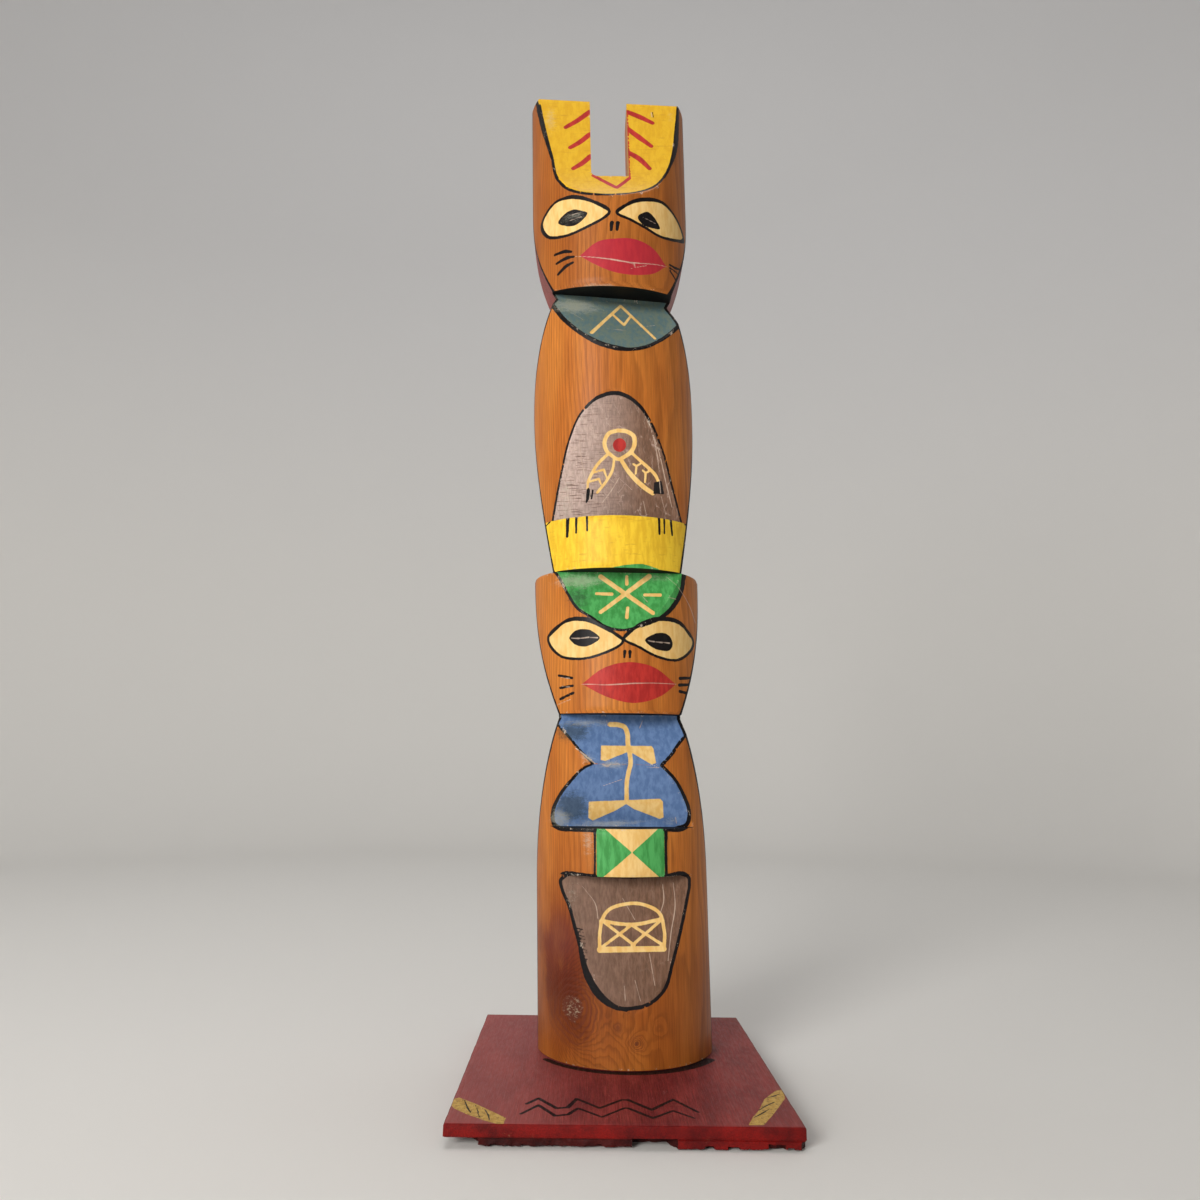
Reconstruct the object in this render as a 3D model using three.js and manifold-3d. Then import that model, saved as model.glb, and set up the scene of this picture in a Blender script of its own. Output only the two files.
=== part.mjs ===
// A carved and painted totem pole that stands on a thin wooden base board.
//
// The pole is a half-round post with a flat back. Its front outline is sawn to two waists,
// then flat facets are cut into the round front: a scooped forehead, a chin, a chest and a
// belly for the upper head, and the same again for the lower one, with a belt between.
//
// Millimetres, +Z up, the front faces -Y. The origin is the centre of the board's underside.

import * as THREE from 'three';
import { mergeVertices } from 'three/addons/utils/BufferGeometryUtils.js';
import Module from 'manifold-3d';

const wasm = await Module();
wasm.setup();

// ---- Driving dimensions ---------------------------------------------------------------

const INCH = 25.4;
const GAP = 0.3;                       // clearance where the pole stands on the board

const BOARD = {
  width: 5 * INCH,
  depth: 6 * INCH,
  thickness: 7.6,
  lowerLayer: 3.1,                     // the layer that has broken away along the front
  rearTaper: 2.5,                      // the right edge is sawn a little askew
};

const POLE = {
  radius: 39,                          // the half-round front
  back: 7,                             // the flat back, behind the centre of the round
  backBevel: 2.8,                      // the two rear arrises, planed off
  top: 451.5,                          // height above the board, on the centre line
  topFall: -0.03,                      // the top is sawn lower still on the right
  roll: -0.024,                        // every cross cut falls this much to the right
  lean: THREE.MathUtils.degToRad(-1.75),
  footX: 3.2,                          // where the centre of the round meets the board
  footY: 24,
};

// Half widths and heights of the sawn outline. The sides are full width where none is given.
const OUTLINE = {
  full: 38.4,                          // just inside the round, so that the sides are flat
  cheekTop: 396,
  upperNeck: { half: 26.4, z: 342 },
  shoulder: 290,
  upperWaist: 29.2,                    // half width just above the ears of the lower head
  ears: 210,
  lowerNeck: { half: 26.8, z: 144.8 },
  hip: 72,
};

const NOTCH = { left: -9.0, right: 9.3, bottom: 404.2, cornerRadius: 3 };

// Facets: heights along the pole, and depths behind the frontmost line of the round.
const FOREHEAD = { start: 389, top: 450, topDepth: 21, yaw: 0.027 };
const CHIN = { edge: 343, inner: 346, depth: 19.9, chestEnd: 313.3, yaw: 0.153 };
const BELLY = { step: 234, depth: 13.3, end: 293.2, yaw: -0.007 };
const EARS = { depth: 12.35, end: 182.4, yaw: 0.03 };
const LOWER_CHIN = { z: 145.9, depth: 15.4, chestEnd: 119.4, yaw: 0.092 };
const BELT = { top: 97, bottom: 77, depth: 16.2, lowerChestEnd: 131.8 };
const LEGS = { depth: 11.6, end: 22.5, yaw: 0.056 };

// Breaks along the lower front edge of the board, from the board's centre line.
const LOST_CORNER = { inner: -51.4, depth: 9 };
const SUNK_EDGE = { left: -51.4, right: 2.4, depth: 1.2 };
const CHIPPED = { left: 2.4, right: 15, slopeEnd: 19, depth: 7 };
const RIGHT_CORNER = { start: 60.7, depth: 5 };

const CLEAR = 20;                      // how far a cutter runs past what it cuts
const ARC_STEPS = 28;                  // half of the flats along the half-round front
const CURVE_STEPS = 9;                 // flats along each sawn curve

// ---- Helpers --------------------------------------------------------------------------

function toSolid(geometry) {
  geometry.deleteAttribute('normal');
  geometry.deleteAttribute('uv');
  const merged = mergeVertices(geometry, 1e-4);
  return new wasm.Manifold(new wasm.Mesh({
    numProp: 3,
    vertProperties: new Float32Array(merged.attributes.position.array),
    triVerts: new Uint32Array(merged.index.array),
  }));
}

function toGeometry(solid) {
  const mesh = solid.getMesh();
  const geometry = new THREE.BufferGeometry();
  geometry.setAttribute('position', new THREE.BufferAttribute(mesh.vertProperties, 3));
  geometry.setIndex(new THREE.BufferAttribute(mesh.triVerts, 1));
  geometry.computeVertexNormals();
  return geometry;
}

function extrude(shape, length, curveSegments = CURVE_STEPS) {
  return new THREE.ExtrudeGeometry(shape, { depth: length, bevelEnabled: false, curveSegments });
}

// A front view shape, x across and y up, carried through the pole from front to back.
function throughPole(shape) {
  const length = POLE.radius + POLE.back + 2 * CLEAR;
  return extrude(shape, length).rotateX(Math.PI / 2).translate(0, POLE.back + CLEAR, 0);
}

// A side view shape, x as depth behind the frontmost line and y up, carried across the pole.
// The yaw turns the cut about the upright, and the roll lowers its right end.
function acrossPole(shape, yaw = 0) {
  const length = 2 * (POLE.radius + CLEAR);
  const sideToRow = new THREE.Matrix4().makeBasis(
    new THREE.Vector3(0, 1, 0), new THREE.Vector3(0, 0, 1), new THREE.Vector3(1, 0, 0));
  const skew = new THREE.Matrix4().makeShear(yaw, POLE.roll, 0, 0, 0, 0);
  return extrude(shape, length)
    .translate(0, 0, -length / 2)
    .applyMatrix4(sideToRow)
    .applyMatrix4(skew)
    .translate(0, -POLE.radius, 0);
}

// A wedge cut with its apex inside the pole, open towards the front: its top and bottom faces
// reach the frontmost line at the heights given.
function wedge(apexDepth, apexZ, topZ, bottomZ, yaw) {
  const reach = CLEAR / apexDepth;
  const shape = new THREE.Shape();
  shape.moveTo(apexDepth, apexZ);
  shape.lineTo(-CLEAR, topZ + (topZ - apexZ) * reach);
  shape.lineTo(-CLEAR, bottomZ + (bottomZ - apexZ) * reach);
  shape.closePath();
  return toSolid(acrossPole(shape, yaw));
}

// ---- The pole -------------------------------------------------------------------------

function halfRoundPost() {
  const { radius, back, backBevel } = POLE;
  const section = new THREE.Shape();
  section.moveTo(radius, 0);
  section.absarc(0, 0, radius, 0, -Math.PI, true);
  section.lineTo(-radius, back - backBevel);
  section.lineTo(-radius + backBevel, back);
  section.lineTo(radius - backBevel, back);
  section.lineTo(radius, back - backBevel);
  const length = POLE.top + 2 * CLEAR;
  return toSolid(extrude(section, length, ARC_STEPS).translate(0, 0, -CLEAR));
}

function sawnOutline() {
  const { full, cheekTop, upperNeck, shoulder, upperWaist, ears, lowerNeck, hip } = OUTLINE;

  // One side, from the foot to the top. The other side is its mirror image.
  const side = new THREE.CurvePath();
  const point = (x, z) => new THREE.Vector2(x, z);
  const line = (a, b) => side.add(new THREE.LineCurve(a, b));
  const curve = (a, b, c, d) => side.add(new THREE.CubicBezierCurve(a, b, c, d));

  line(point(full, -CLEAR), point(full, hip));
  curve(point(full, hip), point(full, 98), point(34.3, 126), point(lowerNeck.half, lowerNeck.z));
  curve(point(lowerNeck.half, lowerNeck.z), point(35, 166), point(full, 184), point(full, ears));
  line(point(full, ears), point(upperWaist, ears));
  curve(point(upperWaist, ears), point(34.5, 240), point(full, 268), point(full, shoulder));
  curve(point(full, shoulder), point(full, 318), point(31, 336),
    point(upperNeck.half, upperNeck.z));
  curve(point(upperNeck.half, upperNeck.z), point(34.5, 358), point(full, 374),
    point(full, cheekTop));
  line(point(full, cheekTop), point(full, POLE.top));

  const right = [];
  for (const part of side.curves) {
    const steps = part.isLineCurve ? 1 : CURVE_STEPS;
    right.push(...part.getPoints(steps).slice(right.length ? 1 : 0));
  }
  const left = right.map((p) => point(-p.x, p.y)).reverse();
  right.at(-1).y += POLE.topFall * full;
  left[0].y -= POLE.topFall * full;

  const shape = new THREE.Shape([...right, ...left]);
  const roll = new THREE.Matrix4().makeShear(0, POLE.roll, 0, 0, 0, 0);
  return toSolid(throughPole(shape).applyMatrix4(roll));
}

function headNotch() {
  const { left, right, bottom, cornerRadius } = NOTCH;
  const shape = new THREE.Shape();
  shape.moveTo(left, bottom + cornerRadius);
  shape.quadraticCurveTo(left, bottom, left + cornerRadius, bottom);
  shape.lineTo(right, bottom);
  shape.lineTo(right, POLE.top + CLEAR);
  shape.lineTo(left, POLE.top + CLEAR);
  shape.closePath();
  return toSolid(throughPole(shape));
}

function foreheadScoop() {
  const { start, top, topDepth, yaw } = FOREHEAD;
  const rise = 0.26;                   // depth gained for each millimetre up, near the top
  const shape = new THREE.Shape();
  shape.moveTo(-CLEAR, start - CLEAR);
  shape.lineTo(0, start);
  shape.bezierCurveTo(9, start + 8, 12.5, start + 20, topDepth, top);
  shape.lineTo(topDepth + rise * CLEAR, top + CLEAR);
  shape.lineTo(-CLEAR, top + CLEAR);
  shape.closePath();
  return toSolid(acrossPole(shape, yaw));
}

function facetCutters() {
  return [
    foreheadScoop(),
    wedge(CHIN.depth, CHIN.inner, CHIN.edge, CHIN.chestEnd, CHIN.yaw),
    wedge(BELLY.depth, BELLY.step, BELLY.end, BELLY.step, BELLY.yaw),
    wedge(EARS.depth, OUTLINE.ears, OUTLINE.ears, EARS.end, EARS.yaw),
    wedge(LOWER_CHIN.depth, LOWER_CHIN.z, LOWER_CHIN.z, LOWER_CHIN.chestEnd, LOWER_CHIN.yaw),
    wedge(BELT.depth, BELT.top, BELT.lowerChestEnd, BELT.top, 0),
    wedge(LEGS.depth, BELT.bottom, BELT.bottom, LEGS.end, LEGS.yaw),
  ];
}

function carvedPole() {
  let solid = halfRoundPost().intersect(sawnOutline()).subtract(headNotch());
  for (const cutter of facetCutters()) solid = solid.subtract(cutter);

  // Lean it, then saw the foot level so that it stands flat on the board.
  const leaning = toGeometry(solid)
    .rotateY(POLE.lean)
    .translate(POLE.footX, POLE.footY, BOARD.thickness);
  const sawLine = BOARD.thickness + GAP;
  const waste = new THREE.BoxGeometry(BOARD.width * 2, BOARD.depth * 2, 4 * CLEAR)
    .translate(0, 0, sawLine - 2 * CLEAR);
  return toGeometry(toSolid(leaning).subtract(toSolid(waste)));
}

// ---- The board ------------------------------------------------------------------------

// A break in the lower layer of the front edge, seen from above: x across, y into the board.
function edgeBreak(points) {
  const front = -BOARD.depth / 2;
  const shape = new THREE.Shape(points.map(([x, inset]) => new THREE.Vector2(x, front + inset)));
  return toSolid(extrude(shape, BOARD.lowerLayer + CLEAR).translate(0, 0, -CLEAR));
}

function baseBoard() {
  const { width, depth, thickness, rearTaper } = BOARD;
  const edge = width / 2;
  const corners = [[-edge, -depth / 2], [edge, -depth / 2], [edge - rearTaper, depth / 2],
    [-edge, depth / 2]];
  const outline = new THREE.Shape(corners.map(([x, y]) => new THREE.Vector2(x, y)));
  let solid = toSolid(extrude(outline, thickness));
  const breaks = [
    [[-edge - 1, -1], [LOST_CORNER.inner, -1], [LOST_CORNER.inner, LOST_CORNER.depth - 4],
      [LOST_CORNER.inner - 3, LOST_CORNER.depth], [-edge - 1, LOST_CORNER.depth + 3]],
    [[SUNK_EDGE.left - 1, -1], [SUNK_EDGE.right + 1, -1], [SUNK_EDGE.right + 1, SUNK_EDGE.depth],
      [SUNK_EDGE.left - 1, SUNK_EDGE.depth]],
    [[CHIPPED.left, -1], [CHIPPED.slopeEnd, -1], [CHIPPED.right, CHIPPED.depth],
      [CHIPPED.left, CHIPPED.depth]],
    [[RIGHT_CORNER.start, -1], [edge + 1, -1], [edge + 1, RIGHT_CORNER.depth]],
  ];
  for (const points of breaks) solid = solid.subtract(edgeBreak(points));
  return toGeometry(solid);
}

// ---- The object -----------------------------------------------------------------------

function part(name, geometry, color, roughness) {
  const material = new THREE.MeshStandardMaterial({ color, roughness, metalness: 0 });
  const mesh = new THREE.Mesh(geometry, material);
  mesh.name = name;
  return mesh;
}

const totem = new THREE.Group();
totem.add(part('totem_pole', carvedPole(), 0xc07a3e, 0.4));
totem.add(part('base_board', baseBoard(), 0x6e282d, 0.55));

export default totem;
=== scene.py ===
"""A carved and painted totem pole on its thin base board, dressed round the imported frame.

The pole's own sizes are in millimetres, in its own upright frame: x to the right, y to the back
and z up along the pole from the board. The finished meshes are moved to the row frame in metres.
"""

import logging
import math
from dataclasses import dataclass, field, replace
from enum import Enum

import bmesh
import bpy
import numpy as np
from mathutils import Matrix, Vector, kdtree, noise


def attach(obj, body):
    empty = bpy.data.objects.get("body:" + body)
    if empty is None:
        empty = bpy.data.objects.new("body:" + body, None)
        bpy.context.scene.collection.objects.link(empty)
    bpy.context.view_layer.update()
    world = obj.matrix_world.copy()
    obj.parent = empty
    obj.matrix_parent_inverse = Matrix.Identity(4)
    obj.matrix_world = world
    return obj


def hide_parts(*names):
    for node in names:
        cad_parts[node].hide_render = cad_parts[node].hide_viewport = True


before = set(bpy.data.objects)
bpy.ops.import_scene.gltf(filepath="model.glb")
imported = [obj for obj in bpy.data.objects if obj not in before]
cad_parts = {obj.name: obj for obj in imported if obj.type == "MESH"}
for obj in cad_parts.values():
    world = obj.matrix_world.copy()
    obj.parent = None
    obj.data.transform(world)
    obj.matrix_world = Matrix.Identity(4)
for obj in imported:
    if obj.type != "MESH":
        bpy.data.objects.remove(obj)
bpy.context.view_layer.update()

log = logging.getLogger("totem")

MM = 0.001
Points = tuple[tuple[float, float], ...]
Widths = tuple[float, ...]


# ---- Colours and named options ----------------------------------------------------------


def srgb(red: int, green: int, blue: int) -> tuple[float, float, float, float]:
    """Returns a colour given as 0 to 255 screen values in the linear form shaders use.

    Args:
        red: red from 0 to 255.
        green: green from 0 to 255.
        blue: blue from 0 to 255.

    Returns:
        The linear colour with full opacity.
    """
    parts = [c / 255 for c in (red, green, blue)]
    linear = [c / 12.92 if c <= 0.04045 else ((c + 0.055) / 1.055) ** 2.4 for c in parts]
    return (linear[0], linear[1], linear[2], 1.0)


class Zone(Enum):
    """The lengths of the pole between its cross cuts, from the foot up."""

    LEGS = 0
    BELT = 1
    CHEST = 2
    LOWER_HEAD = 3
    BAND = 4
    BODY = 5
    UPPER_HEAD = 6


class Surface(Enum):
    """What a face of the pole belongs to, which is also its material slot."""

    FRONT = 0
    SIDE = 1
    LEDGE = 2
    NOTCH = 3
    END = 4


class Coat(Enum):
    """The coats of paint on the pole's front, in the order they were laid on."""

    YELLOW = "yellow"
    TEAL = "teal"
    BROWN = "brown"
    GREEN = "green"
    BLUE = "blue"
    CREAM = "cream"
    RED = "red"
    BLACK = "black"
    BARE = "bare"


YELLOW, TEAL, BROWN, GREEN, BLUE, CREAM, RED, BLACK, BARE = Coat


# ---- Plane curves and the shapes that are painted ---------------------------------------


def smooth_line(points: Points, closed: bool = False, steps: int = 7) -> np.ndarray:
    """Draws a smooth curve through points, as a brush would.

    Args:
        points: the places it passes through.
        closed: whether it comes back to its start.
        steps: straight pieces between two places.

    Returns:
        The points along it, one row each.
    """
    p = np.asarray(points, float)
    if len(p) < 3:
        return p
    if closed:
        p = np.vstack([p[-1:], p, p[:2]])
    gap = np.linalg.norm(np.diff(p, axis=0), axis=1)[:, None]
    slope = np.diff(p, axis=0) / gap
    inner = (slope[:-1] * gap[1:] + slope[1:] * gap[:-1]) / (gap[:-1] + gap[1:])
    tangent = np.vstack([slope[:1], inner, slope[-1:]])
    spans = range(1, len(p) - 2) if closed else range(len(p) - 1)
    t = np.linspace(0, 1, steps, endpoint=False)[:, None]
    line = []
    for i in spans:
        a, b, d = p[i], p[i + 1], gap[i]
        line.append(
            (2 * t**3 - 3 * t**2 + 1) * a
            + (t**3 - 2 * t**2 + t) * d * tangent[i]
            + (3 * t**2 - 2 * t**3) * b
            + (t**3 - t**2) * d * tangent[i + 1]
        )
    if not closed:
        line.append(p[-1:])
    return np.vstack(line)


def distance_to_line(at: np.ndarray, line: np.ndarray, half: np.ndarray) -> np.ndarray:
    """Measures how far inside a brush line each point is.

    Args:
        at: the points to measure from.
        line: the points along the line.
        half: its half width at each of them.

    Returns:
        The half width less the distance, so it is positive on the line.
    """
    best = np.full(len(at), -1e3)
    for a, b, ha, hb in zip(line[:-1], line[1:], half[:-1], half[1:]):
        d = b - a
        t = np.clip((at - a) @ d / max(float(d @ d), 1e-9), 0, 1)
        away = np.linalg.norm(at - a - t[:, None] * d, axis=1)
        best = np.maximum(best, ha + (hb - ha) * t - away)
    return best


def inside(at: np.ndarray, loop: np.ndarray) -> np.ndarray:
    """Says which points lie inside a closed loop.

    Args:
        at: the points to test.
        loop: the points along the loop.

    Returns:
        One truth value for each point.
    """
    found = np.zeros(len(at), bool)
    for a, b in zip(loop, np.roll(loop, -1, axis=0)):
        if a[1] == b[1]:
            continue
        crosses = (at[:, 1] < a[1]) != (at[:, 1] < b[1])
        reach = a[0] + (at[:, 1] - a[1]) * (b[0] - a[0]) / (b[1] - a[1])
        found ^= crosses & (at[:, 0] < reach)
    return found


REACH = 3.0  # paint shapes are measured only this far past their edges


@dataclass(frozen=True)
class Shape:
    """One painted shape on one zone of the pole, or on the board where zone is None."""

    coat: Coat
    zone: Zone | None = field(default=None, kw_only=True)

    def measure(self, at: np.ndarray) -> np.ndarray:
        """Returns how far inside the shape each point is, negative outside."""
        raise NotImplementedError

    def boundary(self) -> np.ndarray:
        """Returns the points along the shape."""
        raise NotImplementedError

    def near(self, at: np.ndarray) -> np.ndarray:
        """Measures only round the shape, for speed.

        Args:
            at: the points to measure.

        Returns:
            How far inside each is, cut off at REACH on both sides.
        """
        line = self.boundary()
        low, high = line.min(0) - REACH, line.max(0) + REACH
        close = np.all((at >= low) & (at <= high), axis=1)
        value = np.full(len(at), -REACH)
        if close.any():
            value[close] = np.clip(self.measure(at[close]), -REACH, REACH)
        return value


@dataclass(frozen=True)
class Patch(Shape):
    """An area filled with paint. Its edge is one or more smooth runs that meet at corners."""

    runs: tuple[Points, ...]
    smooth: bool = True

    def boundary(self) -> np.ndarray:
        """Returns the closed edge."""
        if len(self.runs) == 1 and self.smooth:
            return smooth_line(self.runs[0], closed=True)
        return np.vstack([smooth_line(run) if self.smooth else np.asarray(run, float)
                          for run in self.runs])

    def measure(self, at: np.ndarray) -> np.ndarray:
        """Returns the distance to the edge, positive inside."""
        edge = self.boundary()
        loop = np.vstack([edge, edge[:1]])
        away = -distance_to_line(at, loop, np.zeros(len(loop)))
        return np.where(inside(at, edge), away, -away)


@dataclass(frozen=True)
class Outline(Shape):
    """A brush line along the edge of a patch: width wide, out of it by shift of its width."""

    patch: Patch
    width: float
    shift: float

    def boundary(self) -> np.ndarray:
        """Returns the patch's edge."""
        return self.patch.boundary()

    def measure(self, at: np.ndarray) -> np.ndarray:
        """Returns the half width less the distance to the line's middle."""
        return self.width / 2 - np.abs(self.patch.measure(at) + self.shift * self.width)


@dataclass(frozen=True)
class Stroke(Shape):
    """A brush stroke through points, with a width at each or one for all."""

    points: Points
    widths: Widths
    curved: bool = True

    def boundary(self) -> np.ndarray:
        """Returns the stroke's middle line."""
        return smooth_line(self.points) if self.curved else np.asarray(self.points, float)

    def measure(self, at: np.ndarray) -> np.ndarray:
        """Returns the distance inside the stroke's edge."""
        line = self.boundary()
        along = np.linspace(0, 1, len(line))
        half = np.interp(along, np.linspace(0, 1, len(self.widths)), self.widths) / 2
        return distance_to_line(at, line, half)


@dataclass(frozen=True)
class Ring(Shape):
    """A painted circle: a disc, or a ring where width is given."""

    centre: tuple[float, float]
    radius: float
    width: float | None = None

    def boundary(self) -> np.ndarray:
        """Returns corners of the square round the circle."""
        reach = self.radius + (self.width or 0) / 2
        return np.array([self.centre]) + np.array([[-reach, -reach], [reach, reach]])

    def measure(self, at: np.ndarray) -> np.ndarray:
        """Returns the distance inside the circle or ring."""
        away = np.linalg.norm(at - np.array(self.centre), axis=1)
        if self.width is None:
            return self.radius - away
        return self.width / 2 - np.abs(away - self.radius)


# ---- The painted decoration -------------------------------------------------------------


def strokes(coat: Coat, widths: Widths, *lines: Points) -> list[Shape]:
    """Makes straight-sided strokes that share their widths.

    Args:
        coat: their paint.
        widths: how wide they are from start to end.
        lines: the places that each passes through.

    Returns:
        The strokes.
    """
    return [Stroke(coat, points, widths, curved=False) for points in lines]


def brushed(coat: Coat, widths: Widths, *lines: Points) -> list[Shape]:
    """Makes curved strokes that share their widths, with the same arguments as strokes."""
    return [Stroke(coat, points, widths) for points in lines]


def field_of(coat: Coat, width: float, *runs: Points, shift: float = 0.3) -> list[Shape]:
    """Makes a field of paint with a black line round it.

    Args:
        coat: its paint.
        width: how wide the black line is.
        runs: the smooth runs of its edge.
        shift: how much of the line's width its middle lies outside the edge.

    Returns:
        The patch and its outline.
    """
    patch = Patch(coat, runs)
    return [patch, Outline(BLACK, patch, width, shift)]


@dataclass(frozen=True)
class Smudge:
    """A soft oval where the paint is rubbed pale or grimed dark."""

    zone: Zone
    centre: tuple[float, float]
    reach: tuple[float, float]
    strength: float

    def measure(self, at: np.ndarray) -> np.ndarray:
        """Returns how strong it is at each point, from 0 to its strength."""
        share = (at - np.array(self.centre)) / np.array(self.reach)
        return self.strength * np.exp(-np.sum(share**2, axis=1))


@dataclass
class Decoration:
    """The painted decoration of the pole's front, zone by zone, and its wear."""

    def shapes(self) -> list[Shape]:
        """Returns every painted shape of the front, each on its zone."""
        zones = {
            Zone.UPPER_HEAD: [*self.forehead(), *self.upper_face()],
            Zone.BODY: [*self.throat(), *self.belly()],
            Zone.BAND: self.band(),
            Zone.LOWER_HEAD: [*self.crest(), *self.lower_face()],
            Zone.CHEST: self.chest(),
            Zone.BELT: self.bow(),
            Zone.LEGS: self.apron(),
        }
        return [replace(shape, zone=zone) for zone, made in zones.items() for shape in made]

    def smudges(self, kind: str) -> list[Smudge]:
        """Returns the places of one kind, "rubbed" or "grimed"."""
        places = {
            "rubbed": {
                Zone.UPPER_HEAD: ((-18, 380, 9, 4, 0.55), (-29, 440, 4, 12, 0.6),
                                  (31, 442, 2, 6, 0.5), (-8, 343.8, 20, 0.8, 0.9)),
                Zone.BODY: ((-17, 339, 13, 6, 1.0), (3, 342, 16, 3, 0.5), (-23, 244, 5, 18, 0.55)),
                Zone.LOWER_HEAD: ((-17, 206, 13, 4, 1.0), (18, 207, 12, 2.5, 0.6)),
                Zone.CHEST: ((-14, 142.5, 14, 2, 0.8), (-15, 127, 3.5, 2.5, 0.8),
                             (-4, 124, 7, 2, 0.9), (-27, 101, 5, 5, 1.0), (-6, 98.5, 20, 2, 0.9),
                             (22, 99, 6, 2.5, 0.6)),
                Zone.BELT: ((-15, 92, 3, 7, 0.7),),
                Zone.LEGS: ((-22, 70, 4, 8, 0.5),),
            },
            "grimed": {
                Zone.LOWER_HEAD: ((-18, 198, 7, 6, 0.8),),
                Zone.CHEST: ((-21, 138.5, 9, 5, 0.95), (-22, 106, 8, 7, 1.1)),
            },
        }
        return [Smudge(zone, (x, up), (wide, tall), strength)
                for zone, rows in places[kind].items() for x, up, wide, tall, strength in rows]

    def forehead(self) -> list[Shape]:
        """Returns the yellow scooped forehead with its red strokes."""
        edge = ((-37, 466), (-35, 452), (-31, 433), (-27.5, 416), (-25, 403), (-20, 395.5),
                (-9, 390), (2.5, 389.5), (13, 392.5), (21, 397.5), (27.5, 407.5), (31, 419.5),
                (33, 434.5), (34.5, 447), (36, 466))
        left = (((-21.2, 435.2), (-15.4, 439.6), (-9.2, 445.3)), ((-19, 422.4), (-14.2, 426),
                (-9.3, 431)), ((-17.6, 408.9), (-13.7, 412), (-9.2, 417)))
        right = (((9.6, 445.6), (15.3, 442.7), (22, 438.7)), ((9.4, 434.9), (14.8, 429.6),
                 (20.8, 423.9)), ((9.6, 419.6), (14.3, 416), (19.4, 409.4)))
        return [
            *field_of(YELLOW, 1.3, edge),
            *brushed(BLACK, (2.4, 2.2, 1.2), ((-34.6, 449), (-31.8, 433), (-27.9, 415))),
            *brushed(BLACK, (0.8, 2.1, 1.6), ((28, 407), (32, 419.5), (34.2, 434), (35, 447))),
            *brushed(RED, (2.2, 2.7, 2.7), *left),
            *brushed(RED, (2.6, 3.0, 2.2), *right),
            *strokes(RED, (1.9, 2.0, 1.8), ((-8, 404.4), (3, 395.6), (9.4, 402.8))),
            *strokes(RED, (1.0, 0.7), ((9.6, 402.5), (9.7, 445))),
            *brushed(BARE, (0.5, 1.1, 0.5), ((21.6, 445.4), (21.9, 442.6))),
            *brushed(BLACK, (0.5, 0.5), ((22.3, 445.6), (22.6, 442.5))),
        ]

    def eye(self, edge: Points, pupil: Points, width: float, lid: Points) -> list[Shape]:
        """Returns one cream eye with its black line, its thicker lid and its pupil."""
        return [
            *field_of(CREAM, width, edge, shift=0.25),
            *brushed(BLACK, (1.1, 1.9, 1.2), lid),
            Patch(BLACK, (pupil,)),
        ]

    def upper_face(self) -> list[Shape]:
        """Returns the eyes, nostrils, lips and whiskers of the upper head."""
        left_eye = ((-1.2, 380), (-12, 387), (-20, 390), (-26, 390.7), (-32.8, 385), (-29, 374.7),
                    (-22.3, 372), (-12, 373.5))
        right_eye = ((3, 379.6), (9, 384.3), (18.7, 388), (24.8, 389), (30.5, 386.5), (35.8, 379),
                     (23.6, 371.7), (16, 374), (9.6, 376.6))
        left_pupil = ((-25.2, 380), (-22.5, 382.6), (-18.8, 383.7), (-14.5, 382.4), (-11.2, 380.2),
                      (-13.8, 377), (-17, 375.4), (-22, 376.8))
        right_pupil = ((12.5, 378.3), (15, 380.9), (17.8, 382), (21, 379.6), (23.3, 375.2),
                       (19.2, 374.3), (15.4, 374.6))
        lips = (((-15, 359.4), (-6.5, 365.2), (2.2, 366.4), (10.8, 366.8), (19.6, 364),
                (26, 357.3)), ((26, 357.3), (19.3, 351.2), (12, 349), (1, 349.6), (-8, 354),
                (-15, 359.4)))
        return [
            *self.eye(left_eye, left_pupil, 1.4, ((-0.8, 380.4), (-11, 387.2), (-20, 390.8),
                      (-27, 391))),
            *self.eye(right_eye, right_pupil, 1.4, ((3, 380), (9, 385), (18.7, 388.8), (26, 389.4),
                      (31, 386.6))),
            *strokes(BLACK, (2.0, 1.4), ((0.2, 374.4), (-0.2, 370.8)), ((3, 374.2), (2.6, 370.9))),
            Patch(RED, lips),
            *brushed(BARE, (0.3, 0.75, 0.3), ((-17, 359.6), (-2.3, 356.3), (8.4, 354.8),
                     (26.4, 357.2))),
            *brushed(BARE, (0.25, 0.4), ((8, 351.5), (16, 354.4)), ((-22, 381), (-13, 381.4)),
                     ((-21, 378.4), (-14, 379)), ((15, 378.6), (21, 377.2))),
            *strokes(BLACK, (1.3, 1.8, 1.2), ((-26.8, 364.2), (-22, 363.8), (-19, 362.6)),
                     ((-26, 359.4), (-21, 360.2), (-18, 359.8)), ((-25.4, 353.6), (-22, 356),
                     (-18.4, 357))),
            *strokes(BLACK, (1.0, 1.3, 1.0), ((27.9, 359), (30.5, 359), (33, 360)), ((27.9, 357.4),
                     (32.3, 357)), ((28, 356), (30.8, 353))),
        ]

    def throat(self) -> list[Shape]:
        """Returns the teal field under the upper chin with its peaked mark."""
        edge = ((-44, 362), (-36, 350), (-27.5, 339), (-22.5, 330.5), (-15, 322), (-6.5, 315.5),
                (4, 312.5), (13, 314), (21, 319), (30.5, 329.5), (38, 342), (44, 362))
        return [
            *field_of(TEAL, 1.9, edge),
            *brushed(BLACK, (1.4, 2.6, 1.6), ((-15, 321.4), (-6, 315), (6, 312))),
            *strokes(CREAM, (1.8, 1.5, 1.3), ((-10, 321.5), (4.2, 341.3), (19.5, 320))),
            *strokes(CREAM, (1.3, 1.4, 1.2), ((0.4, 334.5), (5.3, 328), (8.9, 334.6))),
            *brushed(BARE, (0.25, 0.35), ((-3, 325), (6, 324.2)), ((12, 327), (20, 329)),
                     ((-20, 335), (-14, 330))),
        ]

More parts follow.
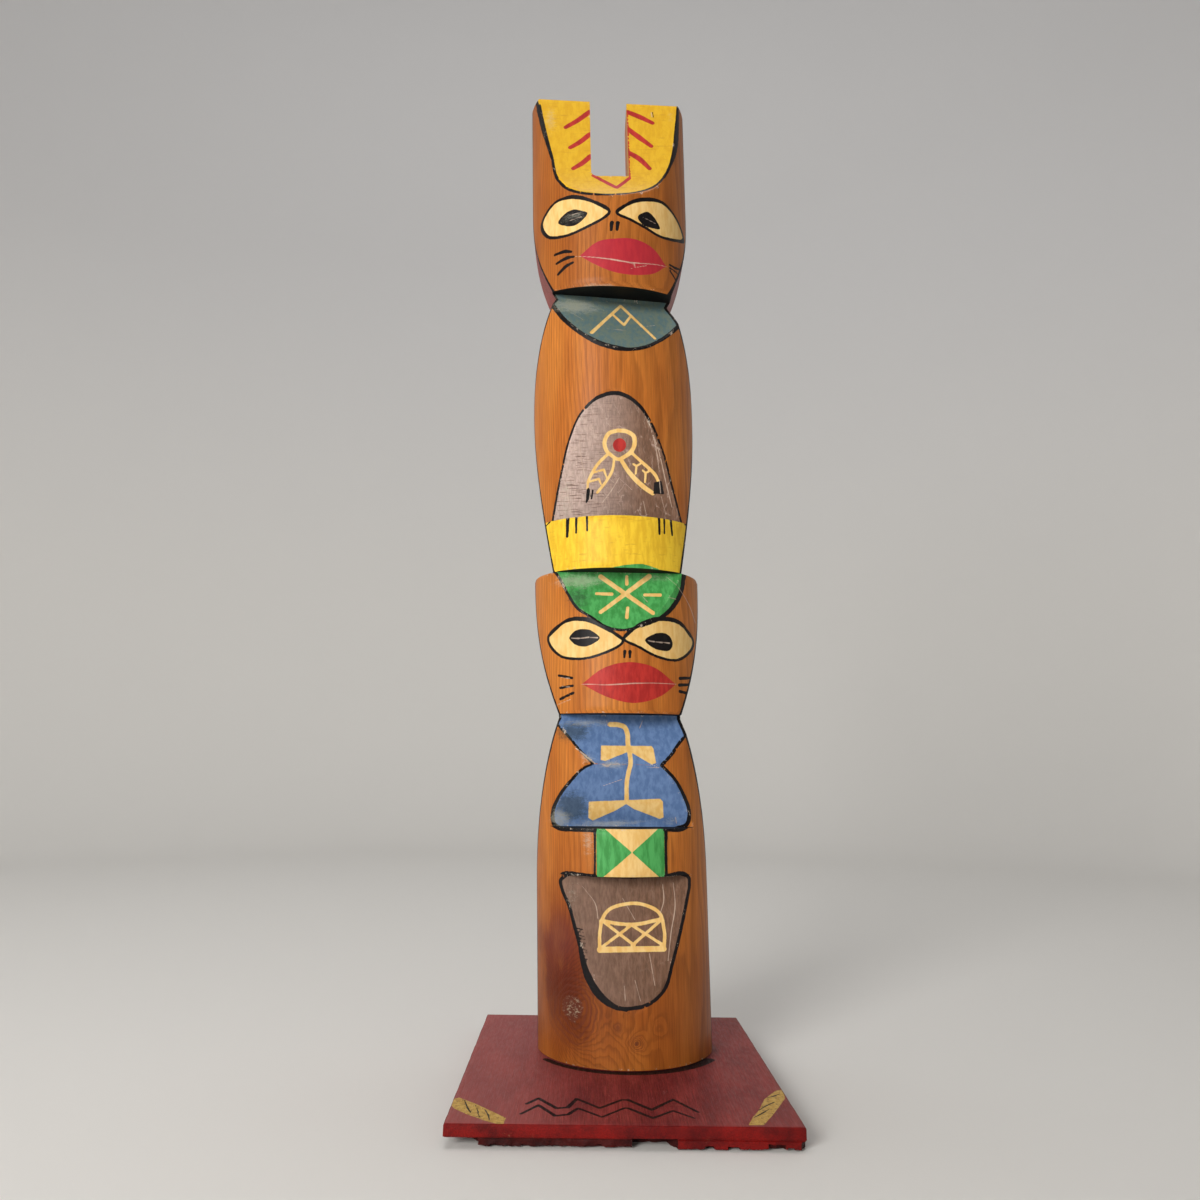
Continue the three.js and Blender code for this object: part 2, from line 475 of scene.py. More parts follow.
    def belly(self) -> list[Shape]:
        """Returns the brown field with its ring and two feathers."""
        edge = ((-31, 222), (-28.5, 236.5), (-24.5, 256), (-20.5, 271.5), (-15.5, 282),
                (-8.5, 288.5), (1, 290.5), (10.5, 285), (16.5, 276.5), (21.5, 264.5), (25, 251),
                (29, 235.5), (32, 222))
        ring = ((1.2, 274.5), (-2.9, 273.2), (-4.9, 269.1), (-4, 265.6), (-1.5, 263.2),
                (1.3, 261.7), (4.6, 263.1), (7.2, 265), (8.8, 268.4), (8.4, 271.8), (5.4, 273.9),
                (1.2, 274.5))
        cracks = (((-16.3, 271), (-15.7, 263), (-14.3, 255), (-13, 249)), ((16, 276), (18.4, 267),
                  (19.8, 257)), ((-23, 252), (-20.7, 238)), ((1.7, 253.7), (-2, 248),
                  (-6.3, 242.5)), ((2, 253), (7.5, 248)), ((12.5, 243), (14, 236)), ((20.7, 245),
                  (22.7, 237)), ((15, 279), (19.5, 266), (23.2, 250), (25.6, 240)))
        return [
            *field_of(BROWN, 1.0, edge, shift=0.35),
            *brushed(BLACK, (0.8, 1.8, 1.8, 1.2, 0.8), ((-15.5, 282.6), (-8, 289), (1, 291),
                     (10.8, 285.8), (16.9, 277), (21.8, 265))),
            *brushed(CREAM, (1.7, 1.9, 1.5, 1.9, 2.0, 1.7), ring),
            Ring(RED, (1.9, 268), 3.0),
            *brushed(CREAM, (1.4, 1.4, 1.1), ((-4, 263.6), (-7.6, 260.3), (-11, 255.4),
                     (-12.8, 251.5), (-13, 249))),
            *brushed(CREAM, (1.2, 1.3, 1.2), ((-0.6, 261.7), (-1.4, 257.2), (-4.2, 252.3),
                     (-7, 248.9), (-8.5, 247.2))),
            *strokes(CREAM, (0.9, 1.0, 0.8), ((-9.7, 256.1), (-5.4, 257.3), (-4.1, 253.6)),
                     ((-11.8, 252), (-7.7, 253.2), (-6.8, 250.8))),
            *brushed(CREAM, (1.3, 1.5, 1.3), ((7.7, 264.2), (11.2, 261), (15.2, 257.5),
                     (18.7, 253.5), (19.4, 251.6))),
            *brushed(CREAM, (1.7, 2.2, 1.9), ((2.6, 261.4), (5.6, 256.6), (10.1, 251.6),
                     (13.6, 248.6), (16.8, 246.4))),
            *strokes(CREAM, (0.9, 1.0, 0.9), ((8.1, 259.5), (9.5, 258.6), (9.2, 255.2)),
                     ((9.5, 258.6), (12.2, 260)), ((12.4, 256.6), (13.7, 255.5), (13.4, 251.4)),
                     ((13.7, 255.5), (16.3, 256.6))),
            Patch(BLACK, (((17.5, 251.3), (20.9, 251.7), (22.2, 245.8), (17.2, 246.1)),),
                  smooth=False),
            *brushed(BLACK, (1.3, 2.2, 0.7), ((-12.6, 248.6), (-12.6, 246), (-13.6, 242.8))),
            *brushed(BLACK, (0.9, 0.7), ((-10.6, 248), (-11.2, 244.4))),
            *brushed(BARE, (0.3, 0.45, 0.3), *cracks),
            *brushed(BARE, (0.3, 0.4), ((19.9, 252.6), (20.5, 246.4)), ((-11.6, 248.4),
                     (-12.2, 244))),
        ]

    def band(self) -> list[Shape]:
        """Returns the yellow band between the heads with the claws that hang over it."""
        whole = ((-60, 200), (60, 200), (60, 245), (-60, 245))
        claws = ((-21.9, -22.5, 226, 1.8), (-18.1, -18.4, 227, 1.3), (-13.5, -13.4, 227.4, 1.1),
                 (19, 19.1, 226, 1.4), (21.6, 21.4, 226.6, 1.0), (24.3, 25.2, 226.3, 1.3))
        return [
            Patch(YELLOW, (whole,), smooth=False),
            *[Stroke(BLACK, ((x, 238), (end, low)), (width, width, width * 0.7)) for x, end, low,
              width in claws],
            Stroke(GREEN, ((-2, 209.6), (4, 210), (11, 210), (18, 209.2)), (1.4, 2.4, 3.4, 1.6)),
            *brushed(BLACK, (0.7, 0.9), ((-32.6, 233.2), (-30.6, 234.6), (-28.4, 237))),
            *brushed(BLACK, (0.7, 0.9), ((33, 232.4), (30.6, 233.8), (28.6, 236.6))),
        ]

    def crest(self) -> list[Shape]:
        """Returns the green field over the lower head with its starry cross."""
        edge = ((-36, 222), (-31, 214.5), (-27, 209.5), (-22.5, 200.5), (-18, 193), (-11, 188),
                (-5.5, 184), (2.5, 182.5), (10, 184.5), (18.5, 188.5), (24.5, 194.5), (28.5, 202),
                (31, 210), (32, 222))
        return [
            *field_of(GREEN, 1.2, edge),
            *brushed(BLACK, (1.2, 2.1, 2.0), ((10, 183.8), (18.8, 188), (25, 194), (29.2, 202),
                     (30.4, 209))),
            *strokes(CREAM, (2.3, 1.9, 1.5, 1.9), ((-7.6, 208), (15.2, 190))),
            *strokes(CREAM, (2.4, 2.0, 1.5, 1.7), ((14.4, 208), (-8, 190.6))),
            *strokes(CREAM, (1.4, 1.6), ((4.2, 208), (4.1, 204.2)), ((4.1, 192.6), (3.5, 188)),
                     ((-9.6, 199.6), (-2.8, 199.3)), ((12, 198.8), (18.9, 198.7))),
            *brushed(BARE, (0.25, 0.45), ((22, 208), (27, 203), (33, 195), (36, 188)), ((22, 197.5),
                     (26, 197)), ((11, 198), (13, 195.4))),
        ]

    def lower_face(self) -> list[Shape]:
        """Returns the eyes, nostrils, lips and whiskers of the lower head."""
        left_eye = ((-31.5, 181), (-22, 187.3), (-16, 187), (-6, 182.5), (1.3, 177.6),
                    (-8.8, 171.8), (-19, 170.5), (-25.8, 172.3))
        right_eye = ((2.3, 178.2), (9.5, 184), (19.3, 186.8), (27.3, 185.8), (34.2, 178.5),
                     (26, 169.8), (18.2, 170.4), (8, 175.2))
        left_pupil = ((-22, 179.8), (-19.9, 182.4), (-15.2, 183.2), (-10.6, 181.2), (-8.6, 178.9),
                      (-11.2, 176.6), (-15.4, 175.4), (-19.8, 176.9))
        right_pupil = ((11.3, 177.7), (14.3, 180), (18.4, 181.2), (22, 180.4), (23.9, 176.3),
                       (22.6, 173.8), (18, 173.4), (14, 174.8))
        lips = (((-16.7, 159), (-7, 165.7), (3.8, 168), (14.6, 166), (25, 158.6)), ((25, 158.6),
                (17.7, 153.2), (6, 150.2), (-5.8, 153), (-16.7, 159)))
        return [
            *self.eye(left_eye, left_pupil, 1.2, ((-31.8, 181.6), (-22, 188), (-15, 187.6),
                      (-5, 182.8), (1.6, 177.8))),
            *self.eye(right_eye, right_pupil, 1.2, ((2.1, 178.6), (9, 184.6), (19.3, 187.6),
                      (28, 186.4), (33, 181))),
            *strokes(BARE, (0.4, 0.65), ((-21.2, 179.6), (-17.6, 179.2)), ((-17, 179.2),
                     (-13.4, 179.4)), ((-12.8, 179.3), (-9.6, 179)), ((12.7, 177.5), (15.4, 177.1)),
                     ((16, 177), (19, 176.9)), ((19.6, 176.9), (22.4, 176.8))),
            *brushed(BARE, (0.3, 0.6, 0.3), ((-17, 159), (-5, 158.3), (8, 158.8), (25, 158.7))),
            *strokes(BLACK, (1.4, 1.1), ((2.2, 172.7), (2, 170.2)), ((4.5, 172.6), (4.4, 170.2))),
            Patch(RED, lips),
            *strokes(BLACK, (1.2, 1.6, 1.1), ((-26.9, 163.5), (-21, 161.9)), ((-26.3, 158),
                     (-20.8, 158.5)), ((-26.3, 153), (-20.5, 155.4))),
            *strokes(BLACK, (1.5, 1.7, 1.2), ((27, 161.4), (32.3, 162)), ((26.6, 158.4),
                     (31.8, 159)), ((26.8, 155.6), (31, 154.8))),
            *strokes(BARE, (0.3, 0.4), ((-26, 162.6), (-22, 161.8)), ((-25.6, 158.6), (-22, 158)),
                     ((-28, 150.5), (-22, 152.5))),
        ]

    def chest(self) -> list[Shape]:
        """Returns the two blue fields with the bird that stands across them."""
        left = ((-38, 158), (-33, 149), (-27, 141), (-22.5, 136), (-18, 130.5), (-12.5, 124.8))
        right = ((17.3, 123.4), (22, 128), (25.5, 132.5), (29, 136.5), (34, 144), (40, 158))
        lower_left = ((-12.5, 124.4), (-16, 123), (-22, 117.5), (-27.5, 110.5), (-30.4, 103),
                      (-29.8, 98.6), (-26, 96.2))
        lower_right = ((24, 95.8), (28.6, 97.6), (29.6, 101), (26.8, 111), (23, 117.5),
                       (17.3, 123.4))
        neck = ((-4.3, 141.6), (-1, 141.4), (2, 140.2), (3, 137.5), (3.1, 132.5), (3.8, 128),
                (3.9, 124.6), (3.1, 121), (2.3, 117), (2.1, 109))
        wings = ((-8.7, 132.3), (13.4, 131.8), (14.2, 130.6), (15, 124.4), (13, 123.8), (5, 128.7),
                 (2.4, 129.2), (-7.2, 125.6), (-9, 126.1))
        tail = ((-14.4, 108.2), (1.9, 108.6), (16.8, 109), (18, 107.6), (18.3, 100.8),
                (16.6, 100.1), (5.3, 104.7), (1.9, 106.9), (-2.5, 104.3), (-12.8, 99.9),
                (-14.7, 101.1))
        return [
            Patch(BLUE, (left, right)),
            Patch(BLUE, (lower_left, ((-20, 93), (20, 93)), lower_right)),
            *brushed(BLACK, (1.0, 1.2), left[1:]),
            *brushed(BLACK, (1.5, 1.3), right[:-1]),
            *brushed(BLACK, (0.9, 1.3, 1.7, 2.0), lower_left),
            *brushed(BLACK, (2.0, 1.9, 1.5, 1.3), lower_right),
            Stroke(CREAM, neck, (2.3, 2.1, 2.1, 1.9, 1.9)),
            Patch(CREAM, (wings,), smooth=False),
            Patch(CREAM, (tail,), smooth=False),
            *brushed(BARE, (0.4, 0.8, 0.4), ((-20, 131.6), (-15.5, 128), (-11.5, 124.6)),
                     ((-8.4, 124.2), (-6, 123.5), (-4.6, 124.4)), ((-2.8, 124.9), (-1, 124.2))),
            *brushed(BARE, (0.25, 0.4), ((-6, 143.5), (-5.6, 141)), ((10, 143), (8.6, 139.8)),
                     ((11, 122.6), (16.5, 122.4)), ((-8, 115), (0, 117.6)), ((23.5, 101),
                     (24, 98))),
        ]

    def bow(self) -> list[Shape]:
        """Returns the green and cream bow on the belt and the black lines that join it."""
        middle = (3.6, 87.2)
        return [
            Patch(GREEN, (((-11.3, 110), (-11.5, 70)), ((17.4, 70), (17.9, 110)))),
            Patch(CREAM, (((-8.4, 97.8), middle, (16.2, 97.6), (16.2, 110), (-8.4, 110)),),
                  smooth=False),
            Patch(CREAM, (((-8.7, 77.3), middle, (15, 76.7), (15, 66), (-8.7, 66)),), smooth=False),
            *brushed(BLACK, (1.2, 0.9, 1.1), ((-12, 98), (-12.1, 88), (-12.4, 76))),
            *brushed(BLACK, (1.7, 1.3, 1.2), ((18.6, 98), (18.3, 90), (18.2, 76))),
            *brushed(BLACK, (2.0, 2.2, 1.9), ((-30, 98.4), (-28, 97.4), (-21.5, 96.9),
                     (-12, 96.7))),
            *brushed(BLACK, (1.8, 2.0, 2.0), ((18.2, 96.3), (26, 96.0), (29, 97.2))),
            *brushed(BLACK, (1.5, 2.1, 1.7), ((-28, 76.4), (-25.8, 77.9), (-19, 78), (-12, 77.4))),
            *brushed(BLACK, (1.7, 2.1, 1.6), ((18, 76.8), (25.6, 77.1), (28.8, 75.4))),
        ]

    def apron(self) -> list[Shape]:
        """Returns the brown field on the legs with the little lodge drawn on it."""
        edge = ((-24.6, 76.8), (-26.6, 75), (-26, 71.6), (-23.4, 66), (-20.5, 56), (-18, 47),
                (-14.5, 37), (-9.5, 30), (-3.5, 25.5), (3, 25), (9.5, 26.5), (15.5, 31),
                (19.5, 41.5), (23.5, 54), (27, 67), (28.2, 72), (28, 75), (25.6, 76.2), (18, 76),
                (3, 75.6), (-12, 76.6))
        lodge = (
            ((-10.7, 47), (-10.6, 53), (-9.7, 58.8)), ((16.4, 46.5), (17, 52), (16.4, 58)),
            ((-9.9, 58.5), (-7.2, 62.4), (0.2, 65), (9.2, 64.4), (15.6, 60.3), (16.4, 57.6)),
            ((-9, 58.6), (-2, 57.2), (5, 56.9), (15.5, 58.6)),
        )
        braces = (((-8.6, 58), (4, 48.6)), ((-9.5, 48.4), (3.6, 57)), ((2.4, 57), (15.5, 48.8)),
                  ((3, 48.6), (15.4, 58)))
        heel = ((-19, 48), (-17.6, 42), (-15.6, 36.6), (-11.4, 29.8), (-6, 25.6), (0, 24))
        cracks = (((-17.7, 72.7), (-12, 64.8), (-11.2, 59.5)), ((17, 72.6), (17.1, 65.6),
                  (15.5, 61)), ((21.6, 73.3), (22, 64), (19.8, 53.4), (18, 42.2)), ((-0.6, 67.6),
                  (4.5, 58.7)), ((10.2, 45.4), (12.1, 32.8)), ((-0.7, 33.2), (-0.4, 27.4)),
                  ((3.8, 35.2), (5.9, 27.2)))
        ticks = [((-20.6 + 0.17 * n * 1.4, 56 - 1.35 * n),
                 (-17.6 + 0.17 * n * 1.4, 55.4 - 1.3 * n)) for n in range(10)]
        return [
            *field_of(BROWN, 1.5, edge),
            *brushed(CREAM, (1.5, 1.4, 1.5), *lodge),
            *strokes(CREAM, (1.2, 1.2), *braces),
            *strokes(CREAM, (2.4, 2.2), ((-10.6, 47.3), (16.5, 46.9))),
            *brushed(BLACK, (1.4, 2.4, 3.2, 3.0, 1.8, 1.4), heel),
            *strokes(BLACK, (0.6, 0.3), *ticks),
            *brushed(BARE, (0.25, 0.4, 0.3), *cracks),
        ]


# ---- Small mesh helpers -----------------------------------------------------------------


def bezier(a: Points, count: int = 40) -> np.ndarray:
    """Returns points along a cubic curve given by its four control points."""
    p = np.asarray(a, float)
    t = np.linspace(0, 1, count)[:, None]
    return ((1 - t) ** 3 * p[0] + 3 * (1 - t) ** 2 * t * p[1] + 3 * (1 - t) * t**2 * p[2]
            + t**3 * p[3])


def ripple(place: Vector, wave: float, seed: float) -> float:
    """Returns a soft seeded unevenness from -1 to 1 at a place, in waves of that length."""
    return noise.noise(Vector((place.x / wave + seed, place.y / wave, place.z / wave)))


def split(bm: bmesh.types.BMesh, faces: list, point: Vector, normal: Vector) -> None:
    """Cuts faces along a plane without taking anything away.

    Args:
        bm: the mesh.
        faces: the faces to cut.
        point: a point of the plane.
        normal: the plane's normal.
    """
    edges = {e for f in faces for e in f.edges}
    verts = {v for f in faces for v in f.verts}
    bmesh.ops.bisect_plane(bm, geom=[*verts, *edges, *faces], dist=1e-4, plane_co=point,
                           plane_no=normal, clear_inner=False, clear_outer=False)


def saw_off(bm: bmesh.types.BMesh, point: Vector, normal: Vector, surface: int) -> None:
    """Saws the mesh along a plane, takes away what the normal points at and closes the cut.

    Args:
        bm: the mesh.
        point: a point of the plane.
        normal: the side to take away.
        surface: the kind of surface that the new face is.
    """
    geom = [*bm.verts, *bm.edges, *bm.faces]
    bmesh.ops.bisect_plane(bm, geom=geom, dist=1e-4, plane_co=point, plane_no=normal,
                           clear_inner=False, clear_outer=True)
    rim = [e for e in bm.edges if e.is_boundary]
    made = bmesh.ops.holes_fill(bm, edges=rim, sides=0)
    kind = bm.faces.layers.int["surface"]
    for f in made["faces"]:
        f[kind] = surface


def boolean(mesh: bpy.types.Mesh, cutter: bpy.types.Mesh) -> bpy.types.Mesh:
    """Takes a cutter's solid out of a mesh.

    Args:
        mesh: the solid to cut.
        cutter: the solid to take away, which is removed.

    Returns:
        The cut mesh.
    """
    scene = bpy.context.scene.collection
    whole, tool = bpy.data.objects.new("whole", mesh), bpy.data.objects.new("tool", cutter)
    scene.objects.link(whole)
    scene.objects.link(tool)
    modifier = whole.modifiers.new("cut", "BOOLEAN")
    modifier.operation, modifier.solver, modifier.object = "DIFFERENCE", "EXACT", tool
    depsgraph = bpy.context.evaluated_depsgraph_get()
    result = bpy.data.meshes.new_from_object(whole.evaluated_get(depsgraph))
    for o in (whole, tool):
        bpy.data.objects.remove(o)
    bpy.data.meshes.remove(cutter)
    bpy.data.meshes.remove(mesh)
    return result


def refine(bm: bmesh.types.BMesh, faces: list) -> None:
    """Divides each face's sides in two where a fine line is painted."""
    edges = list({e for f in faces for e in f.edges})
    bmesh.ops.subdivide_edges(bm, edges=edges, cuts=1, use_grid_fill=True)


def to_mesh(bm: bmesh.types.BMesh, mesh: bpy.types.Mesh | str) -> bpy.types.Mesh:
    """Writes a working mesh to a mesh, or to a new one of that name, and frees it."""
    if isinstance(mesh, str):
        mesh = bpy.data.meshes.new(mesh)
    bm.to_mesh(mesh)
    bm.free()
    return mesh


def crease(bm: bmesh.types.BMesh, angle: float) -> list:
    """Makes the mesh smooth but for edges sharper than an angle.

    Args:
        bm: the mesh.
        angle: the angle in radians.

    Returns:
        The sharp edges.
    """
    sharp = []
    for f in bm.faces:
        f.smooth = True
    for e in bm.edges:
        if len(e.link_faces) == 2 and e.calc_face_angle(0) > angle:
            e.smooth = False
            sharp.append(e)
    return sharp


def crease_mesh(mesh: bpy.types.Mesh, angle: float) -> None:
    """Does to a finished mesh what crease does to a working one."""
    bm = bmesh.new()
    bm.from_mesh(mesh)
    crease(bm, angle)
    to_mesh(bm, mesh)


def face_numbers(mesh: bpy.types.Mesh, name: str) -> np.ndarray:
    """Returns the whole number that each face keeps under a name."""
    numbers = np.zeros(len(mesh.polygons), np.int32)
    mesh.attributes[name].data.foreach_get("value", numbers)
    return numbers


def points_of(mesh: bpy.types.Mesh) -> np.ndarray:
    """Returns the places of a mesh's vertices, one row each."""
    co = np.zeros(len(mesh.vertices) * 3)
    mesh.vertices.foreach_get("co", co)
    return co.reshape(-1, 3)


def write_value(mesh: bpy.types.Mesh, name: str, values: np.ndarray) -> None:
    """Stores one number a vertex under a name that materials read."""
    layer = mesh.attributes.new(name, "FLOAT", "POINT")
    layer.data.foreach_set("value", values.astype(np.float32))


def edge_distance(mesh: bpy.types.Mesh, reach: float) -> np.ndarray:
    """Measures how far each vertex is from the nearest sharp edge.

    Args:
        mesh: the mesh.
        reach: the largest distance that is told apart.

    Returns:
        One distance a vertex.
    """
    sharp = np.zeros(len(mesh.edges), bool)
    if "sharp_edge" in mesh.attributes:
        mesh.attributes["sharp_edge"].data.foreach_get("value", sharp)
    ends = sorted({v for e in np.nonzero(sharp)[0] for v in mesh.edges[int(e)].vertices})
    co = points_of(mesh)
    tree = kdtree.KDTree(max(len(ends), 1))
    for n, v in enumerate(ends):
        tree.insert(co[v], n)
    tree.balance()
    if not ends:
        return np.full(len(co), reach)
    return np.array([min(tree.find(p)[2], reach) for p in co])


def add_piece(name: str, mesh: bpy.types.Mesh, node: str,
              materials: list[bpy.types.Material]) -> bpy.types.Object:
    """Puts a finished mesh into the scene in place of its frame node.

    Args:
        name: the piece's name.
        mesh: its mesh, in the row frame in metres.
        node: the frame node it stands for.
        materials: its materials, by slot number.

    Returns:
        The new object.
    """
    mesh.name = name
    piece = bpy.data.objects.new(name, mesh)
    bpy.context.scene.collection.objects.link(piece)
    mesh.materials.clear()
    for material in materials:
        mesh.materials.append(material)
    kinds = face_numbers(mesh, "surface")
    mesh.polygons.foreach_set("material_index", np.minimum(kinds, len(materials) - 1))
    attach(piece, "root")
    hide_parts(node)
    triangles = sum(len(p.vertices) - 2 for p in mesh.polygons)
    log.info("%s: %d vertices, %d triangles", name, len(mesh.vertices), triangles)
    return piece


# ---- The pole ---------------------------------------------------------------------------


@dataclass(frozen=True)
class Facet:
    """A flat cut across the round front. Depths are behind the frontmost line."""

    zone: Zone
    shallow: float  # height where it runs out
    deep: float  # height of its step
    depth: float  # depth at the step
    yaw: float  # depth gained for each millimetre to the right

    def slope(self) -> float:
        """Returns the depth gained for each millimetre up."""
        return self.depth / (self.deep - self.shallow)


@dataclass
class Pole:
    """The half-round post: its sawn outline, carved facets, notch and paint."""

    radius: float = 39.0
    full: float = 38.4
    back: float = 7.0
    back_bevel: float = 2.8
    top: float = 451.5
    top_fall: float = -0.03
    roll: float = -0.024
    lean: float = math.radians(-1.75)
    foot: tuple[float, float, float] = (3.2, 24.0, 7.6)
    gap: float = 0.3
    row: float = 1.75
    # how near a painted edge a face is divided, coarse pass first
    fine_limits: tuple[float, float] = (0.8, 0.34)
    crease_angle: float = math.radians(33)
    columns_inner: int = 36
    columns_outer: int = 16
    columns_side: int = 5
    columns_back: int = 6
    hip: float = 72.0
    ears: float = 210.0
    cheek_top: float = 396.0
    shoulder: float = 290.0
    upper_waist: float = 29.2
    lower_neck: tuple[float, float] = (26.8, 144.8)
    upper_neck: tuple[float, float] = (26.4, 342.0)
    cuts: tuple[float, ...] = (-4.0, 77.0, 97.0, 145.9, 210.0, 234.0, 346.0, 457.0)
    chin_edge: float = 343.0
    notch: tuple[float, float, float] = (-9.0, 9.3, 404.2)
    notch_radius: float = 3.0
    facets: tuple[Facet, ...] = (
        Facet(Zone.LEGS, 22.5, 77.0, 11.6, 0.056),
        Facet(Zone.CHEST, 119.4, 145.9, 15.4, 0.092),
        Facet(Zone.CHEST, 131.8, 97.0, 16.2, 0.0),
        Facet(Zone.LOWER_HEAD, 182.4, 210.0, 12.35, 0.03),
        Facet(Zone.BODY, 293.2, 234.0, 13.3, -0.007),
        Facet(Zone.BODY, 313.3, 346.0, 19.9, 0.153),
    )
    scoop: Points = ((0, 389), (9, 397), (12.5, 409), (21, 450))
    scoop_rise: float = 0.26
    scoop_yaw: float = 0.027
    decoration: Decoration = field(default_factory=Decoration)

    def __post_init__(self) -> None:
        """Draws the two sawn outline curves, below and above the ears."""
        full = self.full
        lower = np.vstack([
            [(full, -50), (full, self.hip)],
            bezier(((full, self.hip), (full, 98), (34.3, 126), self.lower_neck)),
            bezier((self.lower_neck, (35, 166), (full, 184), (full, self.ears))),
            [(full, self.ears + 1)],
        ])
        upper = np.vstack([
            bezier(((self.upper_waist, self.ears), (34.5, 240), (full, 268),
                    (full, self.shoulder))),
            bezier(((full, self.shoulder), (full, 318), (31, 336), self.upper_neck)),
            bezier((self.upper_neck, (34.5, 358), (full, 374), (full, self.cheek_top))),
            [(full, 500)],
        ])
        self._outline = {False: lower, True: upper}

    # -- shape of the uncut post

    def half_width(self, height: float, zone: int) -> float:
        """Returns the sawn half width at a height, in a zone."""
        curve = self._outline[zone >= Zone.BAND.value]
        return float(np.interp(height, curve[:, 1], curve[:, 0]))

    def ring_point(self, column: int, height: float, zone: int) -> tuple[float, float]:
        """Places one column of one ring on the uncut post.

        Args:
            column: columns from the front centre line, negative to the left.
            height: height before the cross cuts' fall.
            zone: number of the zone.

        Returns:
            x and y.
        """
        side = -1 if column < 0 else 1
        n = abs(column)
        half = self.half_width(height, zone)
        widest = math.asin(half / self.radius)
        ears = math.asin(self.upper_waist / self.radius) / math.asin(self.full / self.radius)
        inner, outer = self.columns_inner, self.columns_inner + self.columns_outer
        last = inner if zone >= Zone.BAND.value else outer
        edge_y = -self.radius * math.cos(widest)
        bevel_y = self.back - max(0.0, half - (self.radius - self.back_bevel))
        bevel_x = min(half, self.radius - self.back_bevel)
        if n <= last:
            if zone >= Zone.BAND.value:
                angle = widest * n / inner
            elif n <= inner:
                angle = widest * ears * n / inner
            else:
                angle = widest * (ears + (1 - ears) * (n - inner) / (outer - inner))
            return side * self.radius * math.sin(angle), -self.radius * math.cos(angle)
        to_bevel = outer + self.columns_side
        if n <= to_bevel:
            share = (n - last) / (to_bevel - last)
            return side * half, edge_y + (bevel_y - edge_y) * share
        share = (n - to_bevel - 1) / self.columns_back
        return side * bevel_x * (1 - share), self.back

    def rows(self) -> list[tuple[float, int]]:
        """Returns the height and zone of each ring from the foot up; cuts have a ring each side."""
        made = []
        for zone, (low, high) in enumerate(zip(self.cuts[:-1], self.cuts[1:])):
            count = max(2, round((high - low) / self.row))
            made += [(float(z), zone) for z in np.linspace(low, high, count + 1)]
        return made

    def post(self) -> bmesh.types.BMesh:
        """Bends a grid round the post's section, zone by zone, and closes it."""
        bm = bmesh.new()
        zone_of = bm.faces.layers.int.new("zone")
        kind_of = bm.faces.layers.int.new("surface")
        rows = self.rows()
        half_count = (self.columns_inner + self.columns_outer + self.columns_side + 1
                      + self.columns_back)
        across, up = 2 * half_count, len(rows) - 1
        bmesh.ops.create_grid(bm, x_segments=across, y_segments=up, size=1.0)
        place = {}
        for v in bm.verts:
            column = round((v.co.x + 1) / 2 * across) - half_count
            level = round((v.co.y + 1) / 2 * up)
            place[v] = (column, level)
        last = {z: self.columns_inner + (0 if z >= Zone.BAND.value else self.columns_outer)
                for z in range(len(Zone))}
        for f in bm.faces:
            levels = [place[v][1] for v in f.verts]
            columns = [abs(place[v][0]) for v in f.verts]
            low, high = rows[min(levels)], rows[max(levels)]
            if low[1] != high[1]:
                f[zone_of], f[kind_of] = -1, Surface.LEDGE.value
            else:
                f[zone_of] = low[1]
                front = max(columns) <= last[low[1]]
                f[kind_of] = Surface.FRONT.value if front else Surface.SIDE.value
        for v in bm.verts:
            column, level = place[v]
            height, zone = rows[level]
            x, y = self.ring_point(column, height, zone)
            v.co = Vector((x, y, height))
        return bm

    # -- carving

    def faces_in(self, bm: bmesh.types.BMesh, zone: int) -> list:
        """Returns the faces of a zone without its ledges."""
        layer = bm.faces.layers.int["zone"]
        return [f for f in bm.faces if f[layer] == zone]

    def carve(self, bm: bmesh.types.BMesh, faces: list, at: tuple[float, float], slope: float,
              yaw: float) -> None:
        """Cuts a flat facet into faces: splits them along it and pushes back what is in front.

        Args:
            bm: the mesh.
            faces: the faces it may cut.
            at: a height and the depth there.
            slope: depth gained for each millimetre up.
            yaw: depth gained for each millimetre to the right.
        """
        layer = bm.faces.layers.int["zone"]
        zone = faces[0][layer]
        around = {g for f in faces for v in f.verts for g in v.link_faces if g[layer] == -1}
        point = Vector((0, at[1] - self.radius, at[0]))
        split(bm, [*faces, *around], point, Vector((-yaw, 1, -slope)).normalized())
        for v in {v for f in self.faces_in(bm, zone) for v in f.verts}:
            y = at[1] - self.radius + slope * (v.co.z - at[0]) + yaw * v.co.x
            v.co.y = max(v.co.y, y)

    def scoop_depth(self, height: float) -> float:
        """Returns how deep the forehead is scooped at a height."""
        curve = bezier(self.scoop, 60)
        if height >= curve[-1, 1]:
            return float(curve[-1, 0] + self.scoop_rise * (height - curve[-1, 1]))
        return float(np.interp(height, curve[:, 1], curve[:, 0]))

